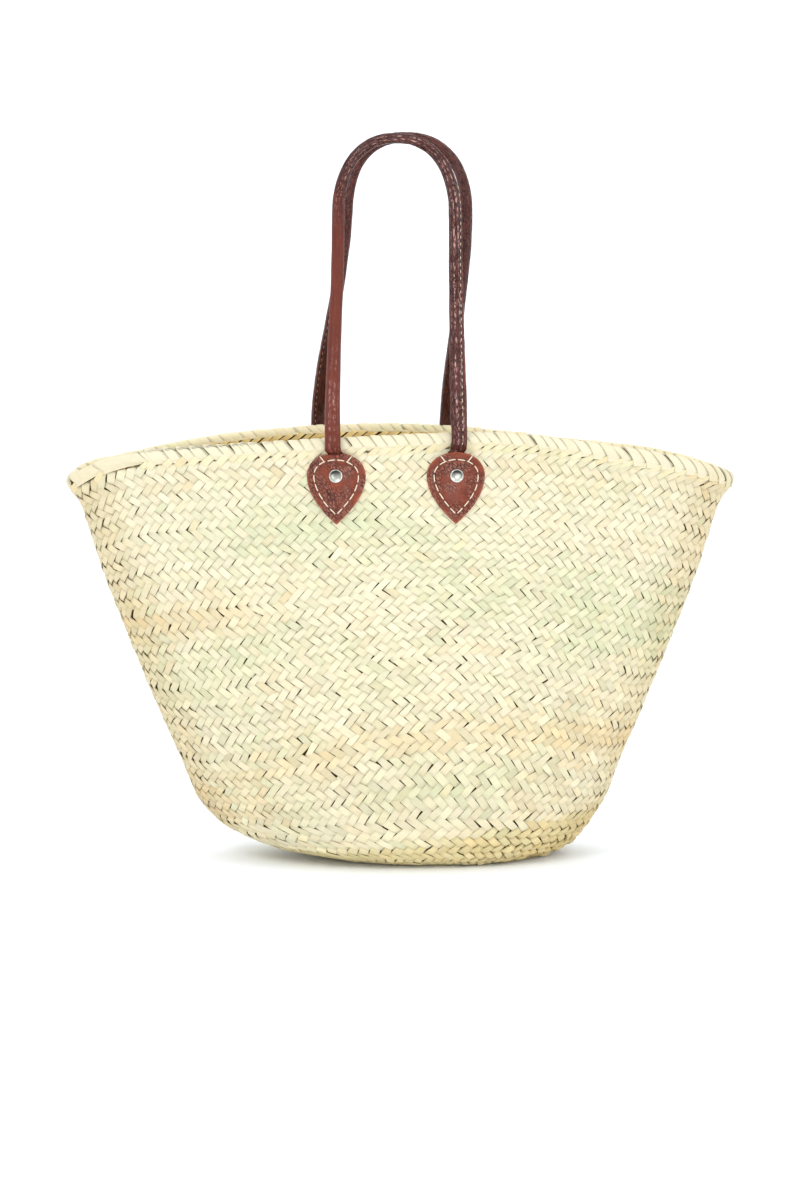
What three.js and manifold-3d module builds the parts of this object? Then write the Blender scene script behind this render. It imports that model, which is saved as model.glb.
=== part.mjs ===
// Straw basket bag: a hollow oval basket of plaited palm leaf with a thick bound rim,
// two round leather handles, and at each handle end a teardrop leather patch and a rivet.
//
// Millimetres, +Z up. X runs along the mouth, the front wall faces -Y, and the basket
// stands on its flat base at Z = 0.

import * as THREE from "three";
import * as BufferGeometryUtils from "three/addons/utils/BufferGeometryUtils.js";
import Module from "manifold-3d";

const wasm = await Module();
wasm.setup();

// Basket
const RIM_HEIGHT = 352; // floor to the top of the rim, at the middle of a side
const RIM_DIP = 36; // how far the rim drops from there to either end
const MOUTH_LENGTH = 538; // end to end across the woven wall, at its top edge
const BELLY_DEPTH = 196; // front to back across the fullest part of the wall
const WALL = 2.6; // plaited palm leaf
const RIM_TALL = 12.4; // height of the bound roll on the wall's top edge
const RIM_DEEP = 10; // thickness of that roll

// Handles
const FRONT_RIVET_SPREAD = 94; // between the two rivets of the front handle
const BACK_RIVET_SPREAD = 103; // between the two rivets of the back handle
const FRONT_LEG_SPREAD = 93; // between the front handle's two legs, at the arch
const BACK_LEG_SPREAD = 100; // between the back handle's two legs, at the arch
const HANDLE_OFFSET = -10; // middle of the handles from the middle of the basket
const HANDLE_THICK = 10.4; // leather tube, across a leg
const FRONT_HANDLE_RISE = 237; // top of the rim to the top of the front handle's arch
const BACK_HANDLE_RISE = 240; // the same for the back handle
const FRONT_HANDLE_LEAN = 3; // sideways lean of the front arch over its own feet
const BACK_HANDLE_LEAN = 16; // sideways lean of the back arch over its own feet
const ARCH_RISE = 62; // height of the arch above the legs
const ARCH_POWER = 0.88; // 1 bends the arch as a half ellipse, less makes it squarer
const ARCH_GAP = 84; // front to back, between the middles of the two arches
const TAIL_WIDE = 13; // flattened handle end under a patch
const TAIL_THICK = 2.6;
const TAIL_BELOW = 9; // how far the flattened end reaches below its rivet

// Patches and rivets
const RIVET_DROP = 32; // rivet below the top of the rim, at the middle of a side
const PATCH_WIDE = 46;
const PATCH_ABOVE = 18.7; // rivet to the patch's round top edge
const PATCH_BELOW = 38.2; // rivet to the patch's point
const PATCH_THICK = 2;
const PATCH_LIP = 1.5; // how far a handle stays flat above its patch, before it swells
const RIVET_CAP = 11; // diameter of the visible dome
const RIVET_DOME = 2; // height of that dome
const RIVET_SHANK = 4;
const WASHER = 10; // diameter of the flat end inside the basket
const WASHER_THICK = 1;

const GAP = 0.3; // between pieces that touch on the real bag
const RIM_GAP = 0.45; // between the rim and a handle that bends over it

// Facets
const AROUND = 72; // steps around the basket and its rim
const RIM_SIDES = 10;
const HANDLE_SIDES = 10;
const LEG_STEPS = 8;
const ARCH_STEPS = 14;
const PATCH_SEGMENTS = 28;
const RIVET_SIDES = 12;
const NEARBY = 0.004; // radians, and share of the height, between points that give a slope
const PLACE_PASSES = 6; // rounds in which a place on the wall settles

// The wall's outer shape, level by level.
// up: share of the wall's height; long: share of half the mouth length;
// deep: share of half the belly depth; shift: sideways place of the level's middle, share of
// half the mouth length; pinch: how much the two ends close up.
const LEVELS = [
  { up: 0.0, long: 0.27, deep: 0.5, shift: 0.075, pinch: 0.0 },
  { up: 0.013, long: 0.352, deep: 0.64, shift: 0.068, pinch: 0.0 },
  { up: 0.034, long: 0.442, deep: 0.745, shift: 0.048, pinch: 0.0 },
  { up: 0.067, long: 0.517, deep: 0.83, shift: 0.026, pinch: 0.01 },
  { up: 0.1, long: 0.567, deep: 0.885, shift: 0.013, pinch: 0.02 },
  { up: 0.165, long: 0.623, deep: 0.945, shift: 0.003, pinch: 0.04 },
  { up: 0.265, long: 0.668, deep: 0.98, shift: 0.0, pinch: 0.07 },
  { up: 0.395, long: 0.732, deep: 1.0, shift: 0.0, pinch: 0.11 },
  { up: 0.59, long: 0.821, deep: 0.995, shift: 0.0, pinch: 0.18 },
  { up: 0.785, long: 0.904, deep: 0.965, shift: 0.0, pinch: 0.25 },
  { up: 0.925, long: 0.953, deep: 0.94, shift: 0.0, pinch: 0.29 },
  { up: 0.97, long: 0.973, deep: 0.93, shift: 0.0, pinch: 0.3 },
  { up: 1.0, long: 1.0, deep: 0.925, shift: 0.0, pinch: 0.3 },
];

// Slow waves of the rim. at: angle around the mouth in degrees, where 0 is the right end and
// -90 the middle of the front; spread: half width of the wave in degrees; rise: share of the
// rim's dip.
const RIM_WAVES = [
  { at: -78, spread: 13, rise: 0.07 },
  { at: -50, spread: 16, rise: -0.065 },
  { at: -115, spread: 18, rise: -0.08 },
  { at: -150, spread: 14, rise: 0.13 },
  { at: 60, spread: 20, rise: -0.22 },
  { at: 122, spread: 28, rise: -0.085 },
  { at: 162, spread: 11, rise: 0.11 },
];

// The handle's section above the rim. up: share of the way from the rim to the top of the
// arch; wide and deep: shares of the tube's thickness.
const HANDLE_SECTIONS = [
  { up: 0.0, wide: 1.2, deep: 0.8 },
  { up: 0.12, wide: 1.14, deep: 1.0 },
  { up: 0.35, wide: 1.0, deep: 1.0 },
  { up: 0.75, wide: 0.96, deep: 0.95 },
  { up: 1.0, wide: 0.8, deep: 0.9 },
];

// A handle's flattened end on the wall. below and above: places under and over the rivet, shares
// of the end's reach below it and of the patch's reach above it; wide and deep: shares of the
// flattened end's width and thickness.
const FOOT_SECTIONS = [
  { below: 1, above: 0, wide: 0.55, deep: 0.55 },
  { below: 0.7, above: 0, wide: 1, deep: 1 },
  { below: 0, above: 0, wide: 1, deep: 1 },
  { below: 0, above: 0.6, wide: 1, deep: 1 },
  { below: 0, above: 1, wide: 1, deep: 1.5 },
];

// Where a handle bends over the rim's roll: shares of the way from its patch to the roll's middle.
const RIM_HUGS = [0, 0.35, 0.7, 1];

// A patch from its rivet hole to its edge. out: share of the way; thick: share of its thickness.
const PATCH_RINGS = [
  { out: 0, thick: 1 },
  { out: 0.5, thick: 1 },
  { out: 0.9, thick: 1 },
  { out: 1, thick: 0.55 },
];

// The pull of a patch's outline, as shares of its half width and of its reach up or down.
const PATCH_CURVE = { pointWide: 0.5, pointLow: 0.72, sideLow: 0.38, sideHigh: 0.59, topWide: 0.55 };

// Where a patch lifts to let the swelling handle out, as shares of its reach above the rivet.
const PATCH_LIFT = { from: 0.4, full: 0.8 };

// A rivet's dome. out: share of its radius; high: share of its height.
const DOME = [
  { out: 1, high: 0 },
  { out: 0.94, high: 0.45 },
  { out: 0.66, high: 0.85 },
  { out: 0, high: 1 },
];

const { clamp, degToRad, lerp, smoothstep } = THREE.MathUtils;

// Value of one column of a table at a height between its rows.
function between(rows, column, up) {
  const last = rows.length - 1;
  const next = Math.max(1, rows.findIndex((row) => row.up >= up));
  const high = up > rows[last].up ? last : next;
  const low = high - 1;
  const share = (up - rows[low].up) / (rows[high].up - rows[low].up);
  return lerp(rows[low][column], rows[high][column], clamp(share, 0, 1));
}

// Height of the rim's top at an angle around the mouth.
function rimTop(angle) {
  const endwise = Math.abs(Math.cos(angle));
  const waves = RIM_WAVES.reduce((sum, wave) => {
    const turned = angle - degToRad(wave.at);
    const away = Math.atan2(Math.sin(turned), Math.cos(turned));
    return sum + wave.rise * Math.exp(-((away / degToRad(wave.spread)) ** 2));
  }, 0);
  return RIM_HEIGHT - RIM_DIP * (endwise ** 3 - waves);
}

// Height of the wall's own top edge, just under the rim.
function wallTop(angle) {
  return rimTop(angle) - RIM_TALL - GAP;
}

// A point of the wall's outer face, from its angle around and its share of the height.
function wallPoint(angle, up) {
  const long = (between(LEVELS, "long", up) * MOUTH_LENGTH) / 2;
  const deep = (between(LEVELS, "deep", up) * BELLY_DEPTH) / 2;
  const shift = (between(LEVELS, "shift", up) * MOUTH_LENGTH) / 2;
  const pinch = between(LEVELS, "pinch", up);
  const along = Math.cos(angle);
  const across = Math.sin(angle) * (1 - pinch * along * along);
  return new THREE.Vector3(shift + long * along, deep * across, up * wallTop(angle));
}

// The wall's outward direction at that point.
function wallNormal(angle, up) {
  const low = Math.max(0, up - NEARBY);
  const high = Math.min(1, up + NEARBY);
  const around = wallPoint(angle + NEARBY, up).sub(wallPoint(angle - NEARBY, up));
  const rise = wallPoint(angle, high).sub(wallPoint(angle, low));
  return around.cross(rise).normalize();
}

// The angle and the share of the height where a side of the wall passes a place given by X
// and Z. side is -1 for the front and 1 for the back.
function wallPlace(side, x, z) {
  let angle = (side * Math.PI) / 2;
  let up = z / wallTop(angle);
  for (let pass = 0; pass < PLACE_PASSES; pass += 1) {
    const long = (between(LEVELS, "long", up) * MOUTH_LENGTH) / 2;
    const shift = (between(LEVELS, "shift", up) * MOUTH_LENGTH) / 2;
    angle = side * Math.acos(clamp((x - shift) / long, -1, 1));
    up = clamp(z / wallTop(angle), 0, 1);
  }
  return { angle, up };
}

// A point off the wall's outer face, over a place given by X and Z.
function offWall(side, x, z, away) {
  const { angle, up } = wallPlace(side, x, z);
  return wallPoint(angle, up).addScaledVector(wallNormal(angle, up), away);
}

// A closed body through rings of equal point counts. An open row of rings gets a flat fan on
// its first and last ring, and a looped one joins its last ring to its first.
function loft(rings, looped = false) {
  const count = rings[0].length;
  const points = rings.flat();
  const index = [];
  const spans = looped ? rings.length : rings.length - 1;
  for (let ring = 0; ring < spans; ring += 1) {
    const here = ring * count;
    const there = ((ring + 1) % rings.length) * count;
    for (let step = 0; step < count; step += 1) {
      const next = (step + 1) % count;
      index.push(here + step, here + next, there + next);
      index.push(here + step, there + next, there + step);
    }
  }
  if (!looped) {
    const lastRing = (rings.length - 1) * count;
    for (const [start, reversed] of [[0, true], [lastRing, false]]) {
      const middle = points.length;
      const ring = points.slice(start, start + count);
      points.push(ring.reduce((sum, point) => sum.add(point), new THREE.Vector3()).divideScalar(count));
      for (let step = 0; step < count; step += 1) {
        const next = (step + 1) % count;
        const pair = reversed ? [start + next, start + step] : [start + step, start + next];
        index.push(middle, ...pair);
      }
    }
  }
  return facingOut(new THREE.BufferGeometry().setFromPoints(points).setIndex(index));
}

// The same body with its faces pointing out, whichever way round its rings were given.
function facingOut(geometry) {
  const place = geometry.getAttribute("position");
  const corners = geometry.getIndex().array;
  const corner = [new THREE.Vector3(), new THREE.Vector3(), new THREE.Vector3()];
  let volume = 0;
  for (let face = 0; face < corners.length; face += 3) {
    corner.forEach((point, which) => point.fromBufferAttribute(place, corners[face + which]));
    volume += corner[0].dot(corner[1].clone().cross(corner[2]));
  }
  if (volume < 0) {
    for (let face = 0; face < corners.length; face += 3) {
      [corners[face], corners[face + 1]] = [corners[face + 1], corners[face]];
    }
  }
  geometry.computeVertexNormals();
  return geometry;
}

// A closed geometry as a solid that can be cut.
function solid(geometry) {
  const bare = geometry.clone();
  bare.deleteAttribute("normal");
  bare.deleteAttribute("uv");
  const merged = BufferGeometryUtils.mergeVertices(bare);
  return new wasm.Manifold(
    new wasm.Mesh({
      numProp: 3,
      vertProperties: new Float32Array(merged.getAttribute("position").array),
      triVerts: new Uint32Array(merged.getIndex().array),
    }),
  );
}

// A body with round holes along the axes of the given rivets.
function withRivetHoles(geometry, rivets) {
  let body = solid(geometry);
  const reach = 4 * (WALL + TAIL_THICK);
  const radius = RIVET_SHANK / 2 + GAP;
  for (const rivet of rivets) {
    const drill = new THREE.CylinderGeometry(radius, radius, reach, RIVET_SIDES);
    drill.applyMatrix4(rivet.frame);
    body = body.subtract(solid(drill));
  }
  const { vertProperties, triVerts } = body.getMesh();
  const cut = new THREE.BufferGeometry();
  cut.setAttribute("position", new THREE.BufferAttribute(new Float32Array(vertProperties), 3));
  cut.setIndex(new THREE.BufferAttribute(new Uint32Array(triVerts), 1));
  cut.computeVertexNormals();
  return cut;
}

// Where one rivet sits: its patch's middle, and a frame whose Y axis points out of the wall.
function rivetPlace(side, x) {
  const z = RIM_HEIGHT - RIVET_DROP;
  const { angle, up } = wallPlace(side, x, z);
  const place = wallPoint(angle, up);
  const outward = wallNormal(angle, up);
  const turn = new THREE.Quaternion().setFromUnitVectors(new THREE.Vector3(0, 1, 0), outward);
  const frame = new THREE.Matrix4().compose(place, turn, new THREE.Vector3(1, 1, 1));
  return { side, x, z, frame };
}

// The basket: outer face from the base to the edge, then the inner face back down.
function wovenBody(rivets) {
  const ring = (make) => Array.from({ length: AROUND }, (_, step) => make((2 * Math.PI * step) / AROUND));
  const outer = LEVELS.map(({ up }) => ring((angle) => wallPoint(angle, up)));
  const inner = LEVELS.map(({ up }) => ring((angle) => {
    const inward = wallNormal(angle, up);
    if (up === 0) {
      inward.set(0, 0, -1);
    }
    if (up === 1) {
      inward.setZ(0).normalize();
    }
    return wallPoint(angle, up).addScaledVector(inward, -WALL);
  }));
  return withRivetHoles(loft([...outer, ...inner.reverse()]), rivets);
}

// The middle of the rim's roll at an angle around the mouth, and the way out from there.
function rimMiddle(angle) {
  const outward = wallNormal(angle, 1).setZ(0).normalize();
  const middle = wallPoint(angle, 1).addScaledVector(outward, -WALL / 2);
  middle.z = rimTop(angle) - RIM_TALL / 2;
  return { middle, outward };
}

// The bound roll that closes the wall's top edge all round.
function rimBinding() {
  const rings = Array.from({ length: AROUND }, (_, step) => {
    const { middle, outward } = rimMiddle((2 * Math.PI * step) / AROUND);
    return Array.from({ length: RIM_SIDES }, (_unused, side) => {
      const turn = (2 * Math.PI * side) / RIM_SIDES;
      const point = middle.clone().addScaledVector(outward, (RIM_DEEP / 2) * Math.cos(turn));
      point.z += (RIM_TALL / 2) * Math.sin(turn);
      return point;
    });
  });
  return loft(rings, true);
}

// One foot of a handle, from its flattened end up past the rim. Each station has its middle
// and its section's width and depth, and its section lies level and square to the wall.
function handleFoot({ side, x, z }) {
  const { angle } = wallPlace(side, x, z);
  const { middle: rim, outward } = rimMiddle(angle);
  const onWall = (rise, section) => {
    const deep = TAIL_THICK * section.deep;
    const middle = offWall(side, x, z + rise, GAP + deep / 2);
    return { middle, wide: TAIL_WIDE * section.wide, deep, outward };
  };
  const mouth = FOOT_SECTIONS[FOOT_SECTIONS.length - 1];
  const tube = HANDLE_SECTIONS[0];
  const lip = z + PATCH_ABOVE + PATCH_LIP;
  const overRim = (share, height = lerp(lip, rim.z, share)) => {
    const deep = lerp(TAIL_THICK * mouth.deep, HANDLE_THICK * tube.deep, share);
    const below = clamp((rim.z - height) / (RIM_TALL / 2), 0, 1);
    const bulge = (RIM_DEEP / 2) * Math.sqrt(1 - below ** 2);
    const away = Math.max(WALL / 2 + GAP, bulge + RIM_GAP) + deep / 2;
    const middle = rim.clone().addScaledVector(outward, away).setZ(height);
    return { middle, wide: lerp(TAIL_WIDE, HANDLE_THICK * tube.wide, share), deep, outward };
  };
  return [
    ...FOOT_SECTIONS.map((row) => onWall(row.above * PATCH_ABOVE - row.below * TAIL_BELOW, row)),
    ...RIM_HUGS.map((share) => overRim(share)),
    overRim(1, rim.z + RIM_TALL / 2),
  ];
}

// A leather handle: a foot, a leg, the arch, and the same back down.
function handle({ side, rise, lean, legs }, rivets) {
  const feet = rivets.map(handleFoot);
  const low = feet.map((foot) => foot[foot.length - 1].middle);
  const arch = HANDLE_SECTIONS[HANDLE_SECTIONS.length - 1];
  const peak = RIM_HEIGHT + rise - (arch.wide * HANDLE_THICK) / 2;
  const springing = peak - ARCH_RISE;
  const archMiddle = HANDLE_OFFSET + lean;
  const archDepth = (side * ARCH_GAP) / 2;
  const station = (which, x, z) => {
    const up = (z - low[which].z) / (peak - low[which].z);
    const eased = Math.sin((up * Math.PI) / 2);
    return {
      middle: new THREE.Vector3(x, lerp(low[which].y, archDepth, eased), z),
      wide: between(HANDLE_SECTIONS, "wide", up) * HANDLE_THICK,
      deep: between(HANDLE_SECTIONS, "deep", up) * HANDLE_THICK,
    };
  };
  const leg = (which) => {
    const upper = archMiddle + ((which === 0 ? -1 : 1) * legs) / 2;
    return Array.from({ length: LEG_STEPS - 1 }, (_, step) => {
      const share = (step + 1) / LEG_STEPS;
      const x = lerp(low[which].x, upper, smoothstep(share, 0, 1));
      return station(which, x, lerp(low[which].z, springing, share));
    });
  };
  const bow = Array.from({ length: ARCH_STEPS + 1 }, (_, step) => {
    const turn = Math.PI * (1 - step / ARCH_STEPS);
    const along = Math.sign(Math.cos(turn)) * Math.abs(Math.cos(turn)) ** ARCH_POWER;
    const x = archMiddle + (legs / 2) * along;
    const z = springing + ARCH_RISE * Math.max(0, Math.sin(turn)) ** ARCH_POWER;
    return station(x < archMiddle ? 0 : 1, x, z);
  });
  const stations = [...feet[0], ...leg(0), ...bow, ...leg(1).reverse(), ...feet[1].reverse()];
  const rings = stations.map(({ middle, wide, deep, outward }, place) => {
    const before = stations[Math.max(0, place - 1)].middle;
    const after = stations[Math.min(stations.length - 1, place + 1)].middle;
    const forward = after.clone().sub(before);
    if (outward) {
      forward.set(0, 0, forward.z);
    }
    forward.normalize();
    const facing = outward ?? new THREE.Vector3(0, side, 0);
    const front = facing.clone().projectOnPlane(forward).normalize();
    const across = forward.clone().cross(front);
    return Array.from({ length: HANDLE_SIDES }, (_, corner) => {
      const turn = (2 * Math.PI * (corner + 0.5)) / HANDLE_SIDES;
      return middle.clone()
        .addScaledVector(across, (wide / 2) * Math.cos(turn))
        .addScaledVector(front, (deep / 2) * Math.sin(turn));
    });
  });
  return withRivetHoles(loft(rings), rivets);
}

// A patch's outline around its rivet: a broad round top that runs down to a point.
function patchOutline() {
  const half = PATCH_WIDE / 2;
  const { pointWide, pointLow, sideLow, sideHigh, topWide } = PATCH_CURVE;
  const shape = new THREE.Shape();
  shape.moveTo(0, -PATCH_BELOW);
  shape.bezierCurveTo(half * pointWide, -PATCH_BELOW * pointLow, half, -PATCH_BELOW * sideLow, half, 0);
  shape.bezierCurveTo(half, PATCH_ABOVE * sideHigh, half * topWide, PATCH_ABOVE, 0, PATCH_ABOVE);
  shape.bezierCurveTo(-half * topWide, PATCH_ABOVE, -half, PATCH_ABOVE * sideHigh, -half, 0);
  shape.bezierCurveTo(-half, -PATCH_BELOW * sideLow, -half * pointWide, -PATCH_BELOW * pointLow, 0, -PATCH_BELOW);
  return shape.getPoints(PATCH_SEGMENTS / 4).slice(0, -1);
}

// How far the handle's flattened end lifts a patch off the wall at a place on it.
function patchLift(across, above) {
  const mouth = FOOT_SECTIONS[FOOT_SECTIONS.length - 1].deep;
  const opened = smoothstep(above / PATCH_ABOVE, PATCH_LIFT.from, PATCH_LIFT.full);
  const thick = TAIL_THICK * lerp(1, mouth, opened) + GAP;
  const sideways = 1 - smoothstep(Math.abs(across), TAIL_WIDE / 2, PATCH_WIDE / 2);
  const endways = smoothstep(above, -PATCH_BELOW, -2 * TAIL_BELOW);
  return thick * sideways * endways;
}

// A leather patch, laid over the handle's flattened end and down onto the wall.
function patch({ side, x, z }) {
  const outline = patchOutline();
  const hole = RIVET_SHANK / 2 + GAP;
  const face = (row, thickness) => outline.map((edge) => {
    const place = edge.clone().normalize().multiplyScalar(hole).lerp(edge, row.out);
    const away = GAP + patchLift(place.x, place.y) + thickness * row.thick;
    return offWall(side, x + place.x, z + place.y, away);
  });
  const under = PATCH_RINGS.map((row) => face(row, 0));
  const over = PATCH_RINGS.map((row) => face(row, PATCH_THICK));
  return loft([...under, ...over.reverse()], true);
}

// A rivet: washer inside the basket, shank through wall, handle end and patch, domed cap.
function rivetBody() {
  const shank = RIVET_SHANK / 2;
  const inside = -WALL - GAP;
  const seat = GAP + TAIL_THICK + GAP + PATCH_THICK + GAP;
  const dome = DOME.map((row) => new THREE.Vector2((row.out * RIVET_CAP) / 2, seat + row.high * RIVET_DOME));
  const points = [
    new THREE.Vector2(0, inside - WASHER_THICK),
    new THREE.Vector2(WASHER / 2, inside - WASHER_THICK),
    new THREE.Vector2(WASHER / 2, inside),
    new THREE.Vector2(shank, inside),
    new THREE.Vector2(shank, seat),
    ...dome,
  ];
  return new THREE.LatheGeometry(points, RIVET_SIDES);
}

const finishes = {
  palm: { color: 0xe6dcb2, roughness: 0.7, metalness: 0 },
  leather: { color: 0x5c2b22, roughness: 0.45, metalness: 0 },
  metal: { color: 0xc9c6bf, roughness: 0.3, metalness: 1 },
};

function piece(name, geometry, finish) {
  const mesh = new THREE.Mesh(geometry, new THREE.MeshStandardMaterial(finishes[finish]));
  mesh.name = name;
  return mesh;
}

const front = {
  name: "front",
  side: -1,
  rivets: FRONT_RIVET_SPREAD,
  legs: FRONT_LEG_SPREAD,
  rise: FRONT_HANDLE_RISE,
  lean: FRONT_HANDLE_LEAN,
};
const back = {
  name: "back",
  side: 1,
  rivets: BACK_RIVET_SPREAD,
  legs: BACK_LEG_SPREAD,
  rise: BACK_HANDLE_RISE,
  lean: BACK_HANDLE_LEAN,
};
const ends = [
  { name: "left", way: -1 },
  { name: "right", way: 1 },
];

const group = new THREE.Group();
const allRivets = [];
for (const face of [front, back]) {
  const rivets = ends.map(({ way }) => rivetPlace(face.side, HANDLE_OFFSET + (way * face.rivets) / 2));
  allRivets.push(...rivets);
  group.add(piece(`${face.name}_handle`, handle(face, rivets), "leather"));
  rivets.forEach((rivet, which) => {
    const label = `${face.name}_${ends[which].name}`;
    group.add(piece(`${label}_patch`, patch(rivet), "leather"));
    const stud = piece(`${label}_rivet`, rivetBody(), "metal");
    stud.applyMatrix4(rivet.frame);
    group.add(stud);
  });
}
group.add(piece("woven_body", wovenBody(allRivets), "palm"));
group.add(piece("rim_binding", rimBinding(), "palm"));

export default group;
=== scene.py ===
"""Straw basket bag: plaited palm leaf, a bound rim and leather handles, dressed round its frame.

Metres, +Z up. X runs along the mouth, the front faces -Y, and the bag stands at Z = 0.
"""

import math

import bpy
import numpy as np
from bpy.props import FloatProperty, FloatVectorProperty, IntProperty, PointerProperty
from mathutils import Matrix, Vector, noise


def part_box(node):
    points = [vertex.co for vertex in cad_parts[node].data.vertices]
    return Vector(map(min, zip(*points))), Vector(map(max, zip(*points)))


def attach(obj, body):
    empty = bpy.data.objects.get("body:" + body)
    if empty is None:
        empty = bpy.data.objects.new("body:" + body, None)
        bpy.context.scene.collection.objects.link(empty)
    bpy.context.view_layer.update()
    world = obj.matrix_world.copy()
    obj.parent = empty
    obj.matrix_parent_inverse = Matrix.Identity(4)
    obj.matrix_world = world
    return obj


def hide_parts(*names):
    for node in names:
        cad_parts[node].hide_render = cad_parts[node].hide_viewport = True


bl_info = {
    "name": "Straw basket bag",
    "version": (1, 0, 0),
    "blender": (4, 5, 0),
    "location": "3D Viewport > Sidebar > Basket",
    "description": "Plaits, binds and stitches a straw basket bag round its frame",
    "category": "Object",
}

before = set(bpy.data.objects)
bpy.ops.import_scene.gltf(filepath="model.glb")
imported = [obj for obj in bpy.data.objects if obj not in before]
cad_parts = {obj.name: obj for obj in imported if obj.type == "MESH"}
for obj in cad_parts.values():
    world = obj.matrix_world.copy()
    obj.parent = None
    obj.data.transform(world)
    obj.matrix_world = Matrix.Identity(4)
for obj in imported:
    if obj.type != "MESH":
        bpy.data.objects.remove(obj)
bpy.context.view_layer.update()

# Lengths of the frame that the looks follow, in metres
WALL_LOW, WALL_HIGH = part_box("woven_body")
MOUTH_LENGTH = WALL_HIGH[0] - WALL_LOW[0]
BELLY_DEPTH = WALL_HIGH[1] - WALL_LOW[1]
RIM_HEIGHT = 0.352
RIM_DIP = 0.036
RIM_TALL = 0.0124
RIM_DEEP = 0.010
WALL = 0.0026
GAP = 0.0003
HANDLE_OFFSET = -0.010
HANDLE_THICK = 0.0104
ARCH_RISE = 0.062
ARCH_POWER = 0.88
ARCH_GAP = 0.084
TAIL_WIDE = 0.013
TAIL_THICK = 0.0026
TAIL_BELOW = 0.009
RIM_GAP = 0.00045
RIVET_DROP = 0.032
RIVET_CAP = 0.011
PATCH_WIDE = 0.046
PATCH_ABOVE = 0.0187
PATCH_BELOW = 0.0382
PATCH_THICK = 0.002
PATCH_LIP = 0.0015

# The wall's outer shape, level by level, as the frame has it: share of the height, shares of half
# the mouth's length and of half the depth, the level's sideways shift, and how far its ends close.
LEVEL_COLUMNS = ("up", "long", "deep", "shift", "pinch")
LEVELS = np.array([
    (0.0, 0.27, 0.5, 0.075, 0.0),
    (0.013, 0.352, 0.64, 0.068, 0.0),
    (0.034, 0.442, 0.745, 0.048, 0.0),
    (0.067, 0.517, 0.83, 0.026, 0.01),
    (0.1, 0.567, 0.885, 0.013, 0.02),
    (0.165, 0.623, 0.945, 0.003, 0.04),
    (0.265, 0.668, 0.98, 0.0, 0.07),
    (0.395, 0.732, 1.0, 0.0, 0.11),
    (0.59, 0.821, 0.995, 0.0, 0.18),
    (0.785, 0.904, 0.965, 0.0, 0.25),
    (0.925, 0.953, 0.94, 0.0, 0.29),
    (0.97, 0.973, 0.93, 0.0, 0.3),
    (1.0, 1.0, 0.925, 0.0, 0.3),
])

# Slow waves of the rim: middle and half width in degrees round the mouth, and rise as a share
# of the rim's dip.
RIM_WAVES = ((-78, 13, 0.07), (-50, 16, -0.065), (-115, 18, -0.08), (-150, 14, 0.13),
             (60, 20, -0.22), (122, 28, -0.085), (162, 11, 0.11))

# Broad drifts of colour over the front: middle in X and Z, half width and half height, rise per
# metre along X, sag away from the middle, and strength.
GREEN_DRIFTS = (
    (-0.066, 0.275, 0.115, 0.028, 0.05, 0.0, 0.6),
    (0.080, 0.232, 0.10, 0.028, -0.1, 0.0, 0.5),
    (0.172, 0.190, 0.06, 0.034, 0.0, 0.0, 0.7),
    (0.041, 0.071, 0.07, 0.014, 0.1, 0.0, 0.7),
    (-0.164, 0.149, 0.05, 0.026, 0.2, 0.0, 0.5),
    (-0.10, 0.10, 0.04, 0.016, 0.3, 0.0, 0.35),
)
TAN_DRIFTS = (
    (-0.180, 0.205, 0.08, 0.018, 0.2, 0.0, 0.42),
    (0.035, 0.112, 0.20, 0.016, 0.06, 0.9, 0.62),
    (-0.139, 0.045, 0.05, 0.020, 0.2, 0.0, 0.6),
    (0.17, 0.095, 0.05, 0.016, 0.1, 0.0, 0.4),
    (0.0, 0.325, 0.30, 0.010, 0.0, 0.4, 0.25),
)

# How far the rows rise over the front's lower half, as a share of the height, and where they do
ROW_ARCH = 0.085
ROW_ARCH_MIDDLE = 0.15
ROW_ARCH_SPREAD = 0.6

# Changes of the leaf's red, green and blue: warmer low on the bag; lighter at its foot, as painted
# light where the turn-under lies in dim light; darker and more golden below the fold that runs up to
# the right over its lower edge, a golden tone with painted shade; and darker and tanner towards its
# two ends, a tanner tone with painted shade where the wall turns away.
LOW_TINT = (0.0, -0.012, -0.04)
FOOT_PAINTED_LIGHT = (0.27, 0.27, 0.27)
FOLD_TONE_AND_SHADE = (-0.12, -0.17, -0.34)
ENDS_TONE_AND_SHADE = (-0.1, -0.15, -0.24)
FOLD_X, FOLD_Z = -0.03, 0.0165
FOLD_RISE_LEFT, FOLD_RISE_RIGHT = 0.06, 0.14
BRIGHTEST_LEAF = 0.9
RANDOM_DRIFTS_IN_FRONT = 0.35

FRONT, BACK = -1, 1
FRONT_MIDDLE = -math.pi / 2
TURN = 2 * math.pi
MILLIMETRE = 0.001
SEED = 20
PLACE_PASSES = 6

# The handles: side, between the rivets, between the legs at the arch, rise over the rim, lean
HANDLES = {
    "front": (FRONT, 0.094, 0.093, 0.237, 0.003),
    "back": (BACK, 0.103, 0.100, 0.240, 0.016),
}


# Shape of the basket

def column(name, up):
    """One column of the levels' table at any height, along a smooth line through its rows."""
    ups = LEVELS[:, 0]
    values = LEVELS[:, LEVEL_COLUMNS.index(name)]
    slopes = np.diff(values) / np.diff(ups)
    inner = np.where(slopes[1:] * slopes[:-1] > 0,
                     2 * slopes[1:] * slopes[:-1] / (slopes[1:] + slopes[:-1] + 1e-12), 0)
    tangents = np.concatenate([slopes[:1], inner, slopes[-1:]])
    up = np.clip(up, 0, 1)
    row = np.clip(np.searchsorted(ups, up, side="right") - 1, 0, len(ups) - 2)
    width = ups[row + 1] - ups[row]
    share = (up - ups[row]) / width
    start = (1 + 2 * share) * (1 - share) ** 2
    end = share ** 2 * (3 - 2 * share)
    return (start * values[row] + end * values[row + 1]
            + share * (1 - share) ** 2 * width * tangents[row]
            - share ** 2 * (1 - share) * width * tangents[row + 1])


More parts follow.
